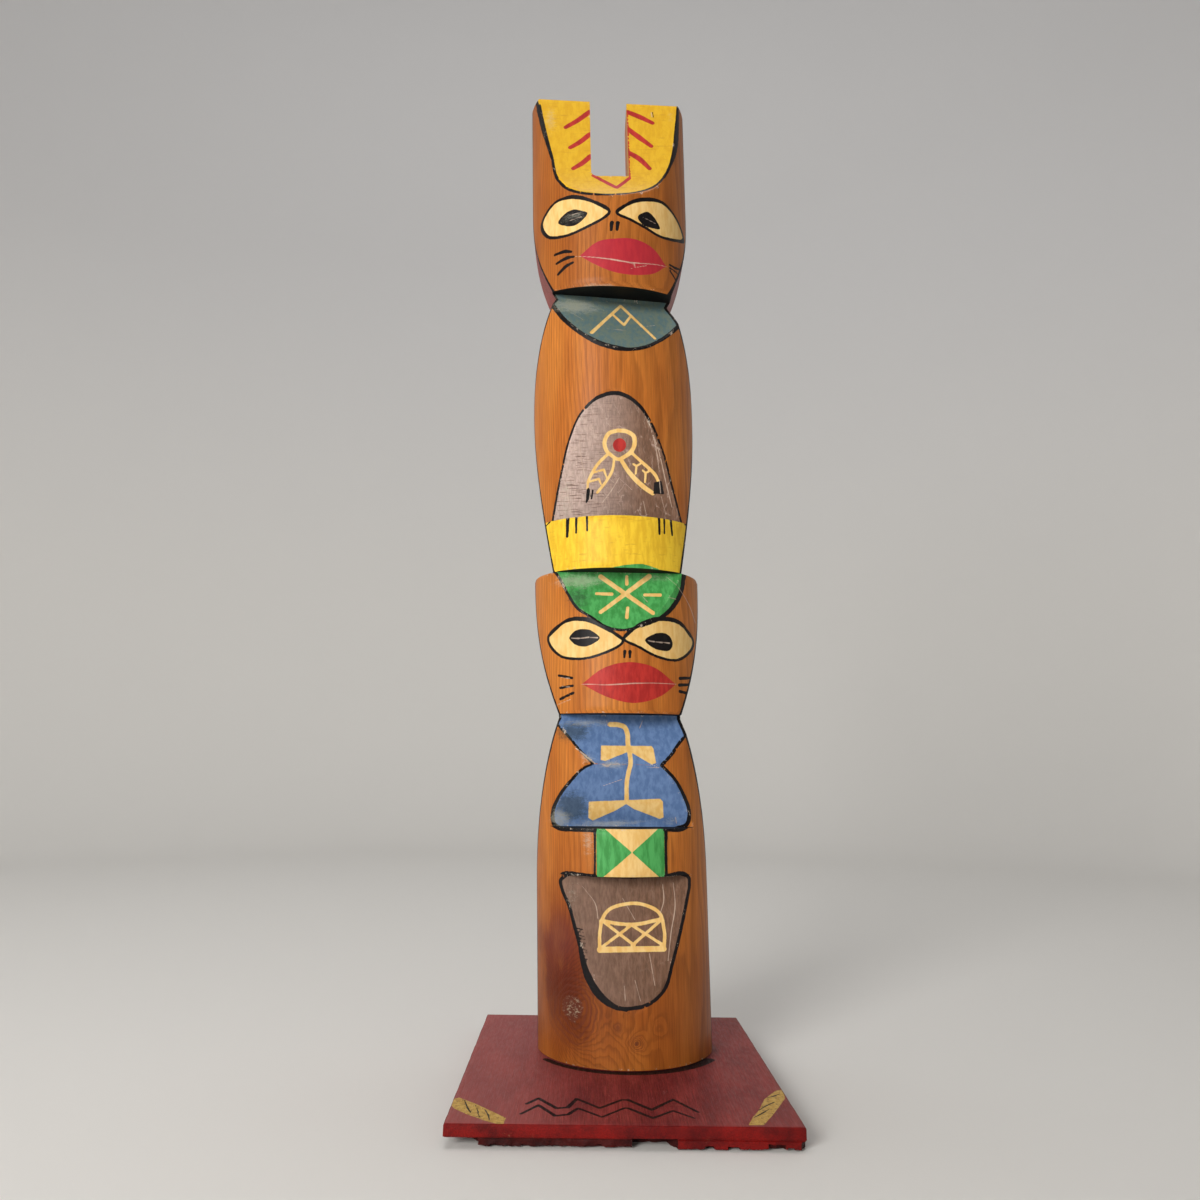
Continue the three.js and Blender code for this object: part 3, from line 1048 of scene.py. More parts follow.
    def carve_scoop(self, bm: bmesh.types.BMesh) -> None:
        """Hollows the forehead, row by row along its curve."""
        layer = bm.faces.layers.int["zone"]
        levels = [z for z, zone in self.rows() if zone == Zone.UPPER_HEAD.value]
        strips: dict[int, list] = {}
        for f in self.faces_in(bm, Zone.UPPER_HEAD.value):
            middle = f.calc_center_median().z
            strips.setdefault(int(np.searchsorted(levels, middle)) - 1, []).append(f)
        for n, faces in sorted(strips.items()):
            low, high = levels[n], levels[n + 1]
            if high <= self.scoop[0][1]:
                continue
            a, b = self.scoop_depth(low), self.scoop_depth(high)
            slope = (b - a) / (high - low)
            normal = Vector((-self.scoop_yaw, 1, -slope)).normalized()
            split(bm, faces, Vector((0, a - self.radius, low)), normal)
        for v in {v for f in bm.faces if f[layer] == Zone.UPPER_HEAD.value for v in f.verts}:
            if v.co.z > self.scoop[0][1]:
                y = self.scoop_depth(v.co.z) - self.radius + self.scoop_yaw * v.co.x
                v.co.y = max(v.co.y, y)

    def drop_chin(self, bm: bmesh.types.BMesh) -> None:
        """Lowers the front of the upper head's bottom edge, so that the chin overhangs."""
        layer = bm.faces.layers.int["zone"]
        chin = self.facets[-1]
        reach = 8.0
        for v in {v for f in self.faces_in(bm, Zone.UPPER_HEAD.value) for v in f.verts}:
            height = v.co.z - chin.deep
            if height > reach:
                continue
            depth = v.co.y + self.radius - chin.yaw * v.co.x
            drop = (chin.deep - self.chin_edge) * (1 - min(max(depth, 0) / chin.depth, 1))
            v.co.z -= drop * (1 - height / reach)

    def carved(self) -> bmesh.types.BMesh:
        """Returns the post with all its facets, sawn top and sawn foot, in its own frame."""
        bm = self.post()
        for facet in self.facets:
            self.carve(bm, self.faces_in(bm, facet.zone.value), (facet.deep, facet.depth),
                       facet.slope(), facet.yaw)
        self.carve_scoop(bm)
        self.drop_chin(bm)
        bmesh.ops.remove_doubles(bm, verts=bm.verts, dist=0.03)
        bmesh.ops.dissolve_degenerate(bm, dist=0.005, edges=bm.edges)
        bmesh.ops.recalc_face_normals(bm, faces=bm.faces)
        for v in bm.verts:
            v.co.z += self.roll * v.co.x
        fall = self.top_fall + self.roll
        saw_off(bm, Vector((0, 0, self.top)), Vector((-fall, 0, 1)).normalized(), Surface.END.value)
        down = Vector((math.sin(self.lean), 0, -math.cos(self.lean)))
        saw_off(bm, Vector((0, 0, self.gap / math.cos(self.lean))), down, Surface.END.value)
        return bm

    def weather(self, bm: bmesh.types.BMesh) -> None:
        """Rounds the arrises a little and gives the knife-cut faces a slight unevenness."""
        arrises = {v for e in crease(bm, math.radians(24)) for v in e.verts}
        bmesh.ops.smooth_vert(bm, verts=list(arrises), factor=0.22, use_axis_x=True,
                              use_axis_y=True, use_axis_z=True)
        kind = bm.faces.layers.int["surface"]
        front = {v for f in bm.faces if f[kind] == Surface.FRONT.value for v in f.verts}
        fixed = {v for f in bm.faces if f[kind] >= Surface.NOTCH.value for v in f.verts}
        for v in front - fixed:
            v.co.y += 0.10 * ripple(v.co, 17.0, 3.1) + 0.05 * ripple(v.co, 5.5, 8.7)

    def notch_cutter(self) -> bpy.types.Mesh:
        """Returns the block that the notch of the head is sawn with."""
        left, right, bottom = self.notch
        height, depth = 60.0, 70.0
        bm = bmesh.new()
        bmesh.ops.create_cube(bm, size=1.0)
        bmesh.ops.scale(bm, vec=(right - left, depth, height), verts=bm.verts)
        bmesh.ops.translate(bm, vec=((left + right) / 2, -8.0, bottom + height / 2), verts=bm.verts)
        corner = [e for e in bm.edges if all(v.co.x < left + 1e-3 and v.co.z < bottom + 1e-3
                                             for v in e.verts)]
        bmesh.ops.bevel(bm, geom=corner, offset=self.notch_radius, segments=5, profile=0.5,
                        affect="EDGES", material=-1)
        for z in np.arange(bottom + 3, bottom + height, 2.5):
            split(bm, list(bm.faces), Vector((0, 0, z)), Vector((0, 0, 1)))
        for y in np.arange(-40.0, 20.0, 2.5):
            split(bm, list(bm.faces), Vector((0, y, 0)), Vector((0, 1, 0)))
        zone = bm.faces.layers.int.new("zone")
        kind = bm.faces.layers.int.new("surface")
        for f in bm.faces:
            f[zone], f[kind] = Zone.UPPER_HEAD.value, Surface.NOTCH.value
        return to_mesh(bm, "notch")

    def finer(self, mesh: bpy.types.Mesh, shapes: list[Shape], limit: float) -> None:
        """Divides the front's faces that lie near the edge of any painted shape.

        Args:
            mesh: the mesh to change.
            shapes: the painted shapes.
            limit: how near an edge a face's middle has to be.
        """
        bm = bmesh.new()
        bm.from_mesh(mesh)
        kind = bm.faces.layers.int["surface"]
        zone = bm.faces.layers.int["zone"]
        faces = [f for f in bm.faces if f[kind] == Surface.FRONT.value]
        middles = np.array([f.calc_center_median()[:] for f in faces])
        zones = np.array([f[zone] for f in faces])
        away = np.full(len(faces), REACH)
        for shape in shapes:
            here = zones == shape.zone.value
            away[here] = np.minimum(away[here], np.abs(shape.near(middles[here][:, [0, 2]])))
        refine(bm, [f for f, near in zip(faces, away < limit) if near])
        to_mesh(bm, mesh)

    def paint(self, mesh: bpy.types.Mesh, shapes: list[Shape]) -> None:
        """Stores how far inside each coat of paint every vertex is.

        Args:
            mesh: the finished mesh, still in the pole's own frame.
            shapes: the painted shapes.
        """
        co = points_of(mesh)
        at = co[:, [0, 2]]
        kinds, zones = face_numbers(mesh, "surface"), face_numbers(mesh, "zone")
        totals = np.zeros(len(mesh.polygons), np.int32)
        mesh.polygons.foreach_get("loop_total", totals)
        corner = np.zeros(len(mesh.loops), np.int32)
        mesh.loops.foreach_get("vertex_index", corner)
        face_of = np.repeat(np.arange(len(mesh.polygons)), totals)
        bits = np.zeros(len(co), np.int64)
        on_front = kinds[face_of] == Surface.FRONT.value
        np.bitwise_or.at(bits, corner[on_front], 1 << np.maximum(zones[face_of][on_front], 0))
        coats = {coat: np.full(len(co), -REACH) for coat in Coat}
        for shape in shapes:
            own = 1 << shape.zone.value
            there = np.nonzero(bits & own)[0]
            value = shape.near(at[there])
            shared = bits[there] != own
            value[shared] = np.minimum(value[shared], 0.0)
            coats[shape.coat][there] = np.maximum(coats[shape.coat][there], value)
        for kind in ("rubbed", "grimed"):
            amount = np.zeros(len(co))
            for smudge in self.decoration.smudges(kind):
                there = np.nonzero(bits & 1 << smudge.zone.value)[0]
                amount[there] = np.maximum(amount[there], smudge.measure(at[there]))
            write_value(mesh, kind, amount)
        coats[BLACK] = np.maximum(coats[BLACK], self.side_line(co, bits))
        for coat, values in coats.items():
            write_value(mesh, coat.value, values)
        write_value(mesh, "arris", edge_distance(mesh, 8.0))

    def side_line(self, co: np.ndarray, bits: np.ndarray) -> np.ndarray:
        """Returns how far inside the black line along the front's two side arrises points are."""
        height = co[:, 2] - self.roll * co[:, 0]
        above = (bits >= 1 << Zone.BAND.value)
        lower, upper = self._outline[False], self._outline[True]
        half = np.where(above, np.interp(height, upper[:, 1], upper[:, 0]),
                        np.interp(height, lower[:, 1], lower[:, 0]))
        edge_y = -np.sqrt(np.maximum(self.radius**2 - half**2, 0))
        away = np.hypot(half - np.abs(co[:, 0]), np.minimum(co[:, 1] - edge_y, 0))
        width = np.where(co[:, 0] > 0, 1.5, 1.1)
        return np.where(bits > 0, width - away, -REACH)

    def build(self, materials: list[bpy.types.Material]) -> bpy.types.Object:
        """Makes the whole pole.

        Args:
            materials: the materials of the front, sides, ledges, notch and ends.

        Returns:
            The finished piece.
        """
        bm = self.carved()
        self.weather(bm)
        mesh = boolean(to_mesh(bm, "post"), self.notch_cutter())
        shapes = self.decoration.shapes()
        for limit in self.fine_limits:
            self.finer(mesh, shapes, limit)
        crease_mesh(mesh, self.crease_angle)
        self.paint(mesh, shapes)
        mesh.transform(self.to_row())
        return add_piece("totem_pole_carved", mesh, "totem_pole", materials)

    def to_row(self) -> Matrix:
        """Returns the move from the pole's own frame to the row frame in metres."""
        place = Matrix.Translation(Vector(self.foot)) @ Matrix.Rotation(self.lean, 4, "Y")
        return Matrix.Scale(MM, 4) @ place


# ---- The base board ---------------------------------------------------------------------


@dataclass(frozen=True)
class Break:
    """A piece broken from the lower layer: its outline from above, its height and roughness."""

    corners: Points
    height: float
    rough: float = 0.12


@dataclass
class Board:
    """The thin base board: two glued layers, the lower one broken along its front edge."""

    width: float = 127.0
    depth: float = 152.4
    thickness: float = 7.6
    layer: float = 3.1
    rear_taper: float = 2.5
    cell: float = 1.7
    crease_angle: float = math.radians(40)
    # inset from the outline and height of each ring from the top face down to the underside
    edge: Points = ((0.55, 7.6), (0.16, 7.42), (0.0, 7.05), (0.0, 3.45), (0.35, 3.2), (0.35, 3.0),
                    (0.05, 2.8), (0.0, 0.35), (0.35, 0.0))
    lost_corner: tuple[float, float] = (-51.4, 9.0)
    sunk_edge: tuple[float, float, float] = (-51.4, 2.4, 1.2)
    chipped: tuple[float, float, float, float] = (2.4, 15.0, 19.0, 7.0)
    right_corner: tuple[float, float] = (60.7, 5.0)

    def shapes(self) -> list[Shape]:
        """Returns the yellow corner bars and the two black zigzag lines of the top face, and the
        black line round the pole's foot, part paint and part painted shadow.
        """
        bars = (((-63.4, -50.8), (-61.3, -48.7), (-53.6, -56.2), (-42.0, -69.9), (-42.6, -77.1),
                 (-49.6, -72.4), (-56.6, -66.2), (-61.3, -61.0), (-62.9, -58.0)),
                ((63.4, -34.5), (61.5, -45.8), (54.6, -61.8), (48.8, -73.8), (43.4, -74.0),
                 (46.2, -66.0), (49.8, -58.2), (53.6, -46.6), (59.6, -36.6), (61.6, -35.4)))
        cracks = (((-58.9, -51.7), (-56.9, -59.6), (-55.2, -64.6)),
                  ((-54.2, -57.3), (-52.4, -64.2)), ((-52.6, -64.6), (-51.3, -69.9)),
                  ((-50.4, -61.3), (-48.6, -66.9), (-47.6, -72.4)),
                  ((49.6, -58.7), (53.1, -53.7), (56.9, -49.5)),
                  ((46.6, -66.4), (50.4, -61.6), (53.4, -57.6)),
                  ((55.1, -44.5), (57.3, -43.3), (60.7, -40.0)))
        upper = ((-35.5, -54.7), (-31.6, -48.5), (-24.5, -59), (-20.4, -58.2), (-17.2, -48.5),
                 (-8.7, -58.5), (-0.5, -49.2), (2, -49.1), (10.3, -59.7), (19, -48), (27, -61.5))
        lower = ((-37, -65.5), (-31.2, -56), (-24.7, -67), (-20.2, -65.6), (-16.6, -58.8),
                 (-8, -67.8), (0.2, -58.2), (1.6, -58), (10.2, -68.2), (18, -60.3), (25, -67.8))
        # the foot line is black paint, and its widening towards the right is a painted shadow under
        # the pole's foot
        middle, foot_radius, first, last = (3.2, 24.0), 41.0, -0.98, 1.04
        foot = tuple((middle[0] + foot_radius * math.sin(a), middle[1] - foot_radius * math.cos(a))
                     for a in np.linspace(first, last, 13))
        return [
            *[Patch(YELLOW, (b,), smooth=False) for b in bars],
            *strokes(BLACK, (0.4, 0.75, 0.5), *cracks),
            *strokes(BLACK, (1.5, 1.9, 1.4, 1.9, 1.2), upper),
            *strokes(BLACK, (1.3, 1.8, 1.2, 1.7, 1.0), lower),
            Stroke(BLACK, foot, (3.0, 4.2, 5.0)),
        ]

    def slab(self) -> bmesh.types.BMesh:
        """Extrudes the fine top face down its edge profile and closes the underside."""
        bm = bmesh.new()
        kind = bm.faces.layers.int.new("surface")
        columns, lines = round(self.width / self.cell), round(self.depth / self.cell)
        bmesh.ops.create_grid(bm, x_segments=columns, y_segments=lines, size=1.0)
        inset, height = self.edge[0]
        half_w, half_d = self.width / 2, self.depth / 2
        for v in bm.verts:
            v.co = Vector((v.co.x * (half_w - inset), v.co.y * (half_d - inset), height))
        rim = [e for e in bm.edges if e.is_boundary]
        for below, z in self.edge[1:]:
            made = bmesh.ops.extrude_edge_only(bm, edges=rim)["geom"]
            for f in (g for g in made if isinstance(g, bmesh.types.BMFace)):
                f[kind] = Surface.SIDE.value
            for v in (g for g in made if isinstance(g, bmesh.types.BMVert)):
                v.co.x *= (half_w - below) / (half_w - inset)
                v.co.y *= (half_d - below) / (half_d - inset)
                v.co.z = z
            rim = [e for e in made if isinstance(e, bmesh.types.BMEdge) and e.is_boundary]
            inset = below
        for f in bmesh.ops.holes_fill(bm, edges=rim, sides=0)["faces"]:
            f[kind] = Surface.LEDGE.value
        bmesh.ops.recalc_face_normals(bm, faces=bm.faces)
        for v in bm.verts:
            share = (v.co.y + half_d) / self.depth
            v.co.x = -half_w + (v.co.x + half_w) * (1 - self.rear_taper / self.width * share)
            if 0.4 < v.co.z < self.thickness - 0.05:
                wave = 0.5 + 0.5 * ripple(v.co, 6.0, 4.2)
                v.co.x -= math.copysign(0.25 * wave, v.co.x) if abs(v.co.x) > half_w - 3 else 0
                v.co.y -= math.copysign(0.25 * wave, v.co.y) if abs(v.co.y) > half_d - 1 else 0
        return bm

    def break_cutter(self, broken: Break, seed: float) -> bpy.types.Mesh:
        """Makes one ragged block that a broken piece of the lower layer is taken out with.

        Args:
            broken: the break.
            seed: the start of its roughness.

        Returns:
            The block.
        """
        bm = bmesh.new()
        kind = bm.faces.layers.int.new("surface")
        front = -self.depth / 2
        bm.faces.new([bm.verts.new((x, front + y, -1.0)) for x, y in broken.corners])
        for e in [e for e in bm.edges if e.calc_length() > 2.5]:
            bmesh.ops.subdivide_edges(bm, edges=[e], cuts=int(e.calc_length() / 1.1))
        made = bmesh.ops.extrude_face_region(bm, geom=list(bm.faces))["geom"]
        top = [g for g in made if isinstance(g, bmesh.types.BMVert)]
        bmesh.ops.translate(bm, vec=(0, 0, broken.height + 1.0), verts=top)
        upright = [e for e in bm.edges if abs(e.verts[0].co.z - e.verts[1].co.z) > 0.5]
        bmesh.ops.subdivide_edges(bm, edges=upright, cuts=4, use_grid_fill=True)
        for v in bm.verts:
            if v.co.y > front + 0.3:
                v.co.y += 0.7 * ripple(v.co, 1.9, seed) + 0.4 * ripple(v.co, 0.8, seed + 5)
                v.co.x += 0.5 * ripple(v.co, 1.7, seed + 9)
            if v.co.z > broken.height - 0.01:
                v.co.z += broken.rough * ripple(v.co, 1.5, seed + 2)
        bmesh.ops.triangulate(bm, faces=bm.faces)
        bmesh.ops.recalc_face_normals(bm, faces=bm.faces)
        for f in bm.faces:
            f[kind] = Surface.NOTCH.value
        return to_mesh(bm, "break")

    def breaks(self) -> list[Break]:
        """Returns the broken places of the lower layer."""
        edge = self.width / 2
        inner, deep = self.lost_corner
        left, right, sunk = self.sunk_edge
        start, flat, end, chip = self.chipped
        corner, cut = self.right_corner
        bites = ((-46.0, 1.4, 0.9), (-35.4, 1.2, 0.9), (-24.0, 1.6, 0.8), (-9.5, 2.0, 1.1),
                 (29.5, 1.8, 1.2), (38.0, 2.4, 1.0), (53.0, 3.4, 2.0), (58.0, 1.4, 0.9))
        return [
            Break(((-edge - 1, -1), (inner, -1), (inner + 0.8, deep - 4), (inner - 3, deep),
                   (-edge - 1, deep + 3)), self.layer),
            Break(((left - 1, -1), (right + 1, -1), (right + 1, sunk), (left - 1, sunk)),
                  self.layer),
            Break(((start, -1), (end, -1), (flat, chip), (start, chip)), self.layer + 0.3),
            Break(((corner, -1), (edge + 1, -1), (edge + 1, cut)), self.layer - 0.2),
            Break(((inner - 1, -1.5), (edge + 1, -1.5), (edge + 1, 2.6), (inner - 1, 2.6)),
                  0.28, 0.9),
            *[Break(((x - w, -1), (x + w, -1), (x + 0.6 * w, 2.4), (x - 0.7 * w, 2.0)), height, 0.5)
              for x, w, height in bites],
        ]

    def build(self, materials: list[bpy.types.Material]) -> bpy.types.Object:
        """Makes the whole board.

        Args:
            materials: the materials of the top, edges, underside and broken faces.

        Returns:
            The finished piece.
        """
        bm = self.slab()
        shapes = self.shapes()
        kind = bm.faces.layers.int["surface"]
        for limit in (1.0, 0.5):
            faces = [f for f in bm.faces if f[kind] == Surface.FRONT.value]
            middles = np.array([f.calc_center_median()[:2] for f in faces])
            away = np.min([np.abs(s.near(middles)) for s in shapes], axis=0)
            refine(bm, [f for f, near in zip(faces, away < limit) if near])
        mesh = to_mesh(bm, "board")
        for n, broken in enumerate(self.breaks()):
            mesh = boolean(mesh, self.break_cutter(broken, 11.0 + 7 * n))
        crease_mesh(mesh, self.crease_angle)
        at = points_of(mesh)[:, :2]
        for coat in (YELLOW, BLACK):
            values = np.max([s.near(at) for s in shapes if s.coat is coat], axis=0)
            write_value(mesh, coat.value, values)
        write_value(mesh, "arris", edge_distance(mesh, 8.0))
        mesh.transform(Matrix.Scale(MM, 4))
        return add_piece("base_board_painted", mesh, "base_board", materials)


# ---- Shader building --------------------------------------------------------------------


class Graph:
    """Adds nodes to a shader tree, with their inputs as sockets or plain values."""

    def __init__(self, tree: bpy.types.NodeTree) -> None:
        """Keeps the tree that nodes are added to."""
        self.tree = tree

    def node(self, kind: str, inputs: dict | None = None, **settings) -> bpy.types.Node:
        """Adds one node.

        Args:
            kind: its type without the ShaderNode prefix.
            inputs: socket names or numbers with what goes into them.
            settings: the node's own properties.

        Returns:
            The node.
        """
        node = self.tree.nodes.new("ShaderNode" + kind)
        for key, value in settings.items():
            setattr(node, key, value)
        for key, value in (inputs or {}).items():
            self.put(value, node.inputs[key])
        return node

    def put(self, value, socket: bpy.types.NodeSocket) -> None:
        """Links a socket, or sets it to a plain value."""
        if isinstance(value, bpy.types.NodeSocket):
            self.tree.links.new(value, socket)
        elif value is not None:
            socket.default_value = value

    def math(self, operation: str, *values, clamp: bool = False) -> bpy.types.NodeSocket:
        """Returns the result of a Math node on up to three values."""
        node = self.node("Math", dict(enumerate(values)), operation=operation, use_clamp=clamp)
        return node.outputs[0]

    def times(self, a, b) -> bpy.types.NodeSocket:
        """Returns the product of two values."""
        return self.math("MULTIPLY", a, b)

    def plus(self, a, b) -> bpy.types.NodeSocket:
        """Returns the sum of two values."""
        return self.math("ADD", a, b)

    def axis(self, place, name: str) -> bpy.types.NodeSocket:
        """Returns one coordinate of a place: X, Y or Z."""
        return self.node("SeparateXYZ", {"Vector": place}).outputs[name]

    def bump(self, shader: bpy.types.Node, height, strength: float, distance: float) -> None:
        """Bends a shader's normals by a height.

        Args:
            shader: the shader.
            height: the height, from 0 to 1 or so.
            strength: how much of the bend is used.
            distance: the depth in metres that a height of 1 stands for.
        """
        node = self.node("Bump", {"Strength": strength, "Distance": distance, "Height": height})
        self.put(node.outputs["Normal"], shader.inputs["Normal"])

    def vector(self, operation: str, *values) -> bpy.types.NodeSocket:
        """Returns the result of a Vector Math node; length and distance give a number."""
        node = self.node("VectorMath", dict(enumerate(values)), operation=operation)
        return node.outputs["Value" if operation in ("LENGTH", "DISTANCE") else "Vector"]

    def stretch(self, place: bpy.types.NodeSocket, x: float, y: float, z: float):
        """Returns a place multiplied by one factor an axis."""
        return self.vector("MULTIPLY", place, (x, y, z))

    def noise(self, place, x: float, y: float, z: float, detail: float = 2.0,
              roughness: float = 0.5) -> bpy.types.NodeSocket:
        """Returns a Noise Texture's value on a stretched place, mostly near a half.

        Args:
            place: the place in millimetres.
            x: waves for each millimetre along x.
            y: the same along y.
            z: the same along z.
            detail: how many finer layers it has.
            roughness: how strong they are.

        Returns:
            The value.
        """
        node = self.node("TexNoise", {"Vector": self.stretch(place, x, y, z), "Scale": 1.0,
                                      "Detail": detail, "Roughness": roughness})
        return node.outputs["Fac"]

    def step(self, value, low: float, high: float, to_low: float = 0.0,
             to_high: float = 1.0) -> bpy.types.NodeSocket:
        """Returns a smooth step of a value between two limits."""
        node = self.node("MapRange", {"Value": value, "From Min": low, "From Max": high,
                                      "To Min": to_low, "To Max": to_high},
                         interpolation_type="SMOOTHSTEP")
        return node.outputs["Result"]

    def lay_down(self, place) -> bpy.types.NodeSocket:
        """Returns a place turned a quarter about X, for wood whose grain runs front to back."""
        node = self.node("Mapping", {"Vector": place, "Rotation": (math.pi / 2, 0, 0)})
        return node.outputs["Vector"]

    def mix(self, factor, under, over, blend: str = "MIX") -> bpy.types.NodeSocket:
        """Returns one colour laid over another."""
        node = self.node("Mix", data_type="RGBA", blend_type=blend)
        self.put(factor, node.inputs[0])
        self.put(under, node.inputs[6])
        self.put(over, node.inputs[7])
        return node.outputs[2]

    def field(self, name: str) -> bpy.types.NodeSocket:
        """Returns a stored vertex value."""
        return self.node("Attribute", attribute_name=name).outputs["Fac"]

    def group(self, tree: bpy.types.NodeTree, **inputs) -> bpy.types.Node:
        """Places a node group with its inputs, underscores standing for spaces."""
        node = self.tree.nodes.new("ShaderNodeGroup")
        node.node_tree = tree
        for key, value in inputs.items():
            self.put(value, node.inputs[key.replace("_", " ")])
        return node


def new_group(name: str, inputs: dict[str, str], outputs: dict[str, str]) -> tuple:
    """Starts a node group with named sockets.

    Args:
        name: the group's name.
        inputs: its inputs with their kind: Float, Vector or Color.
        outputs: its outputs with their kind.

    Returns:
        The group, a Graph for it, its input node and its output node.
    """
    tree = bpy.data.node_groups.new(name, "ShaderNodeTree")
    for sockets, way in ((inputs, "INPUT"), (outputs, "OUTPUT")):
        for key, kind in sockets.items():
            tree.interface.new_socket(key, in_out=way, socket_type="NodeSocket" + kind)
    return tree, Graph(tree), tree.nodes.new("NodeGroupInput"), tree.nodes.new("NodeGroupOutput")


def timber_group() -> bpy.types.NodeTree:
    """Builds the wood figure: yearly rings round a pith, fine fibres and slow drifts of tone."""
    tree, g, given, result = new_group(
        "timber", {"Place": "Vector", "Pith": "Vector", "Spacing": "Float", "Bend": "Float"},
        {"Ring": "Float", "Fibre": "Float", "Drift": "Float", "Pore": "Float"})
    place = given.outputs["Place"]
    sway = g.noise(place, 0.03, 0.03, 0.006)
    shiver = g.noise(place, 0.35, 0.35, 0.03)
    flat = g.stretch(g.vector("SUBTRACT", place, given.outputs["Pith"]), 1, 1, 0.0)
    radial = g.plus(g.vector("LENGTH", flat), given.outputs["Bend"])
    radial = g.plus(radial, g.times(sway, 11.0))
    radial = g.plus(radial, g.times(shiver, 1.1))
    turn = g.math("FRACT", g.math("DIVIDE", radial, given.outputs["Spacing"]))
    ring = g.times(g.step(turn, 0.35, 0.86), g.step(turn, 0.88, 1.0, 1.0, 0.0))
    fibre = g.noise(place, 2.6, 2.6, 0.07, 3.0, 0.6)
    drift = g.noise(place, 0.07, 0.07, 0.014, 3.0, 0.55)
    pore = g.noise(place, 1.1, 1.1, 0.035, 2.0, 0.6)
    for key, value in (("Ring", ring), ("Fibre", fibre), ("Drift", drift), ("Pore", pore)):
        g.put(value, result.inputs[key])
    return tree


def knot_group() -> bpy.types.NodeTree:
    """Builds a knot: its bend of the grain, its rings, its dark heart and the tint round it."""
    tree, g, given, result = new_group(
        "knot", {"Place": "Vector", "Centre": "Vector", "Radius": "Float", "Push": "Float"},
        {"Bend": "Float", "Heart": "Float", "Tint": "Float", "Rings": "Float"})
    off = g.vector("SUBTRACT", given.outputs["Place"], given.outputs["Centre"])
    wander = g.noise(given.outputs["Place"], 0.12, 0.12, 0.12)
    away = g.vector("LENGTH", g.stretch(off, 1.0, 0.5, 0.8))
    away = g.plus(away, g.times(g.math("SUBTRACT", wander, 0.5), 5.0))
    share = g.math("DIVIDE", away, given.outputs["Radius"])
    bell = g.math("POWER", 2.718, g.times(g.times(share, share), -1.0))
    g.put(g.times(bell, given.outputs["Push"]), result.inputs["Bend"])
    g.put(g.step(share, 0.14, 0.34, 1.0, 0.0), result.inputs["Heart"])
    g.put(bell, result.inputs["Tint"])
    turn = g.math("FRACT", g.times(share, 7.0))
    rings = g.times(g.step(turn, 0.3, 0.85), g.step(turn, 0.88, 1.0, 1.0, 0.0))
    g.put(g.times(rings, g.step(share, 0.5, 1.1, 1.0, 0.0)), result.inputs["Rings"])
    return tree


def brush_group() -> bpy.types.NodeTree:
    """Builds a hand-brushed edge: a mask from how far inside a shape a point is."""
    tree, g, given, result = new_group(
        "brush_edge", {"Field": "Float", "Place": "Vector", "Wobble": "Float", "Missing": "Float"},
        {"Mask": "Float"})
    place = given.outputs["Place"]
    slow = g.math("SUBTRACT", g.noise(place, 0.45, 0.45, 0.45), 0.5)
    quick = g.math("SUBTRACT", g.noise(place, 2.4, 2.4, 1.5), 0.5)
    value = g.plus(given.outputs["Field"],
                   g.times(slow, g.times(given.outputs["Wobble"], 2.0)))
    value = g.plus(value, g.times(quick, given.outputs["Wobble"]))
    mask = g.step(value, -0.09, 0.09)
    speck = g.noise(place, 1.7, 1.7, 1.0, 3.0, 0.65)
    hole = g.step(g.plus(speck, given.outputs["Missing"]), 0.74, 0.80, 1.0, 0.0)
    g.put(g.times(mask, hole), result.inputs["Mask"])
    return tree


def rub_group() -> bpy.types.NodeTree:
    """Builds edge wear: where an arris is rubbed, in broken patches."""
    tree, g, given, result = new_group(
        "rubbed_arris", {"Arris": "Float", "Place": "Vector", "Width": "Float", "Amount": "Float"},
        {"Mask": "Float"})
    share = g.math("DIVIDE", given.outputs["Arris"], given.outputs["Width"])
    close = g.math("SUBTRACT", 1.0, share, clamp=True)
    patches = g.noise(given.outputs["Place"], 0.35, 0.35, 0.18, 3.0, 0.65)
    fine = g.noise(given.outputs["Place"], 2.2, 2.2, 1.4, 2.0, 0.6)
    value = g.plus(g.times(patches, 0.65), g.times(fine, 0.45))
    value = g.plus(value, given.outputs["Amount"])
    g.put(g.times(g.step(value, 0.60, 0.70), g.step(close, 0.0, 0.35)),
          result.inputs["Mask"])
    return tree


def smudge_group() -> bpy.types.NodeTree:
    """Builds a smeared mark: a soft amount broken up by streaks and specks."""
    tree, g, given, result = new_group(
        "smudge", {"Amount": "Float", "Place": "Vector", "Reach": "Float"}, {"Mask": "Float"})
    place = given.outputs["Place"]
    smear = g.noise(place, 0.22, 0.22, 0.8, 4.0, 0.72)
    grit = g.noise(place, 1.4, 1.4, 2.8, 4.0, 0.75)
    value = g.plus(g.times(smear, 0.45), g.times(grit, 0.55))
    value = g.plus(value, g.times(given.outputs["Amount"], given.outputs["Reach"]))
    g.put(g.step(value, 0.64, 0.90), result.inputs["Mask"])
    return tree


@dataclass(frozen=True)
class Paint:
    """A coat of paint: its colour, the tone it drifts to, how wavy its edge and how worn it is."""

    coat: Coat
    colour: tuple[float, float, float, float]
    second: tuple[float, float, float, float]
    wobble: float = 0.16
    missing: float = -0.08
    strength: float = 1.0


@dataclass(frozen=True)
class Wood:
    """A wood finish: its light and dark tones, ring spacing and pith."""

    light: tuple[float, float, float, float]
    deep: tuple[float, float, float, float]
    line: tuple[float, float, float, float]
    pith: tuple[float, float, float]
    spacing: float


@dataclass(frozen=True)
class Knot:
    """A knot in the pole's front: where it is, how big and how far it pushes the grain."""

    centre: tuple[float, float, float]
    radius: float
    push: float
    heart: float


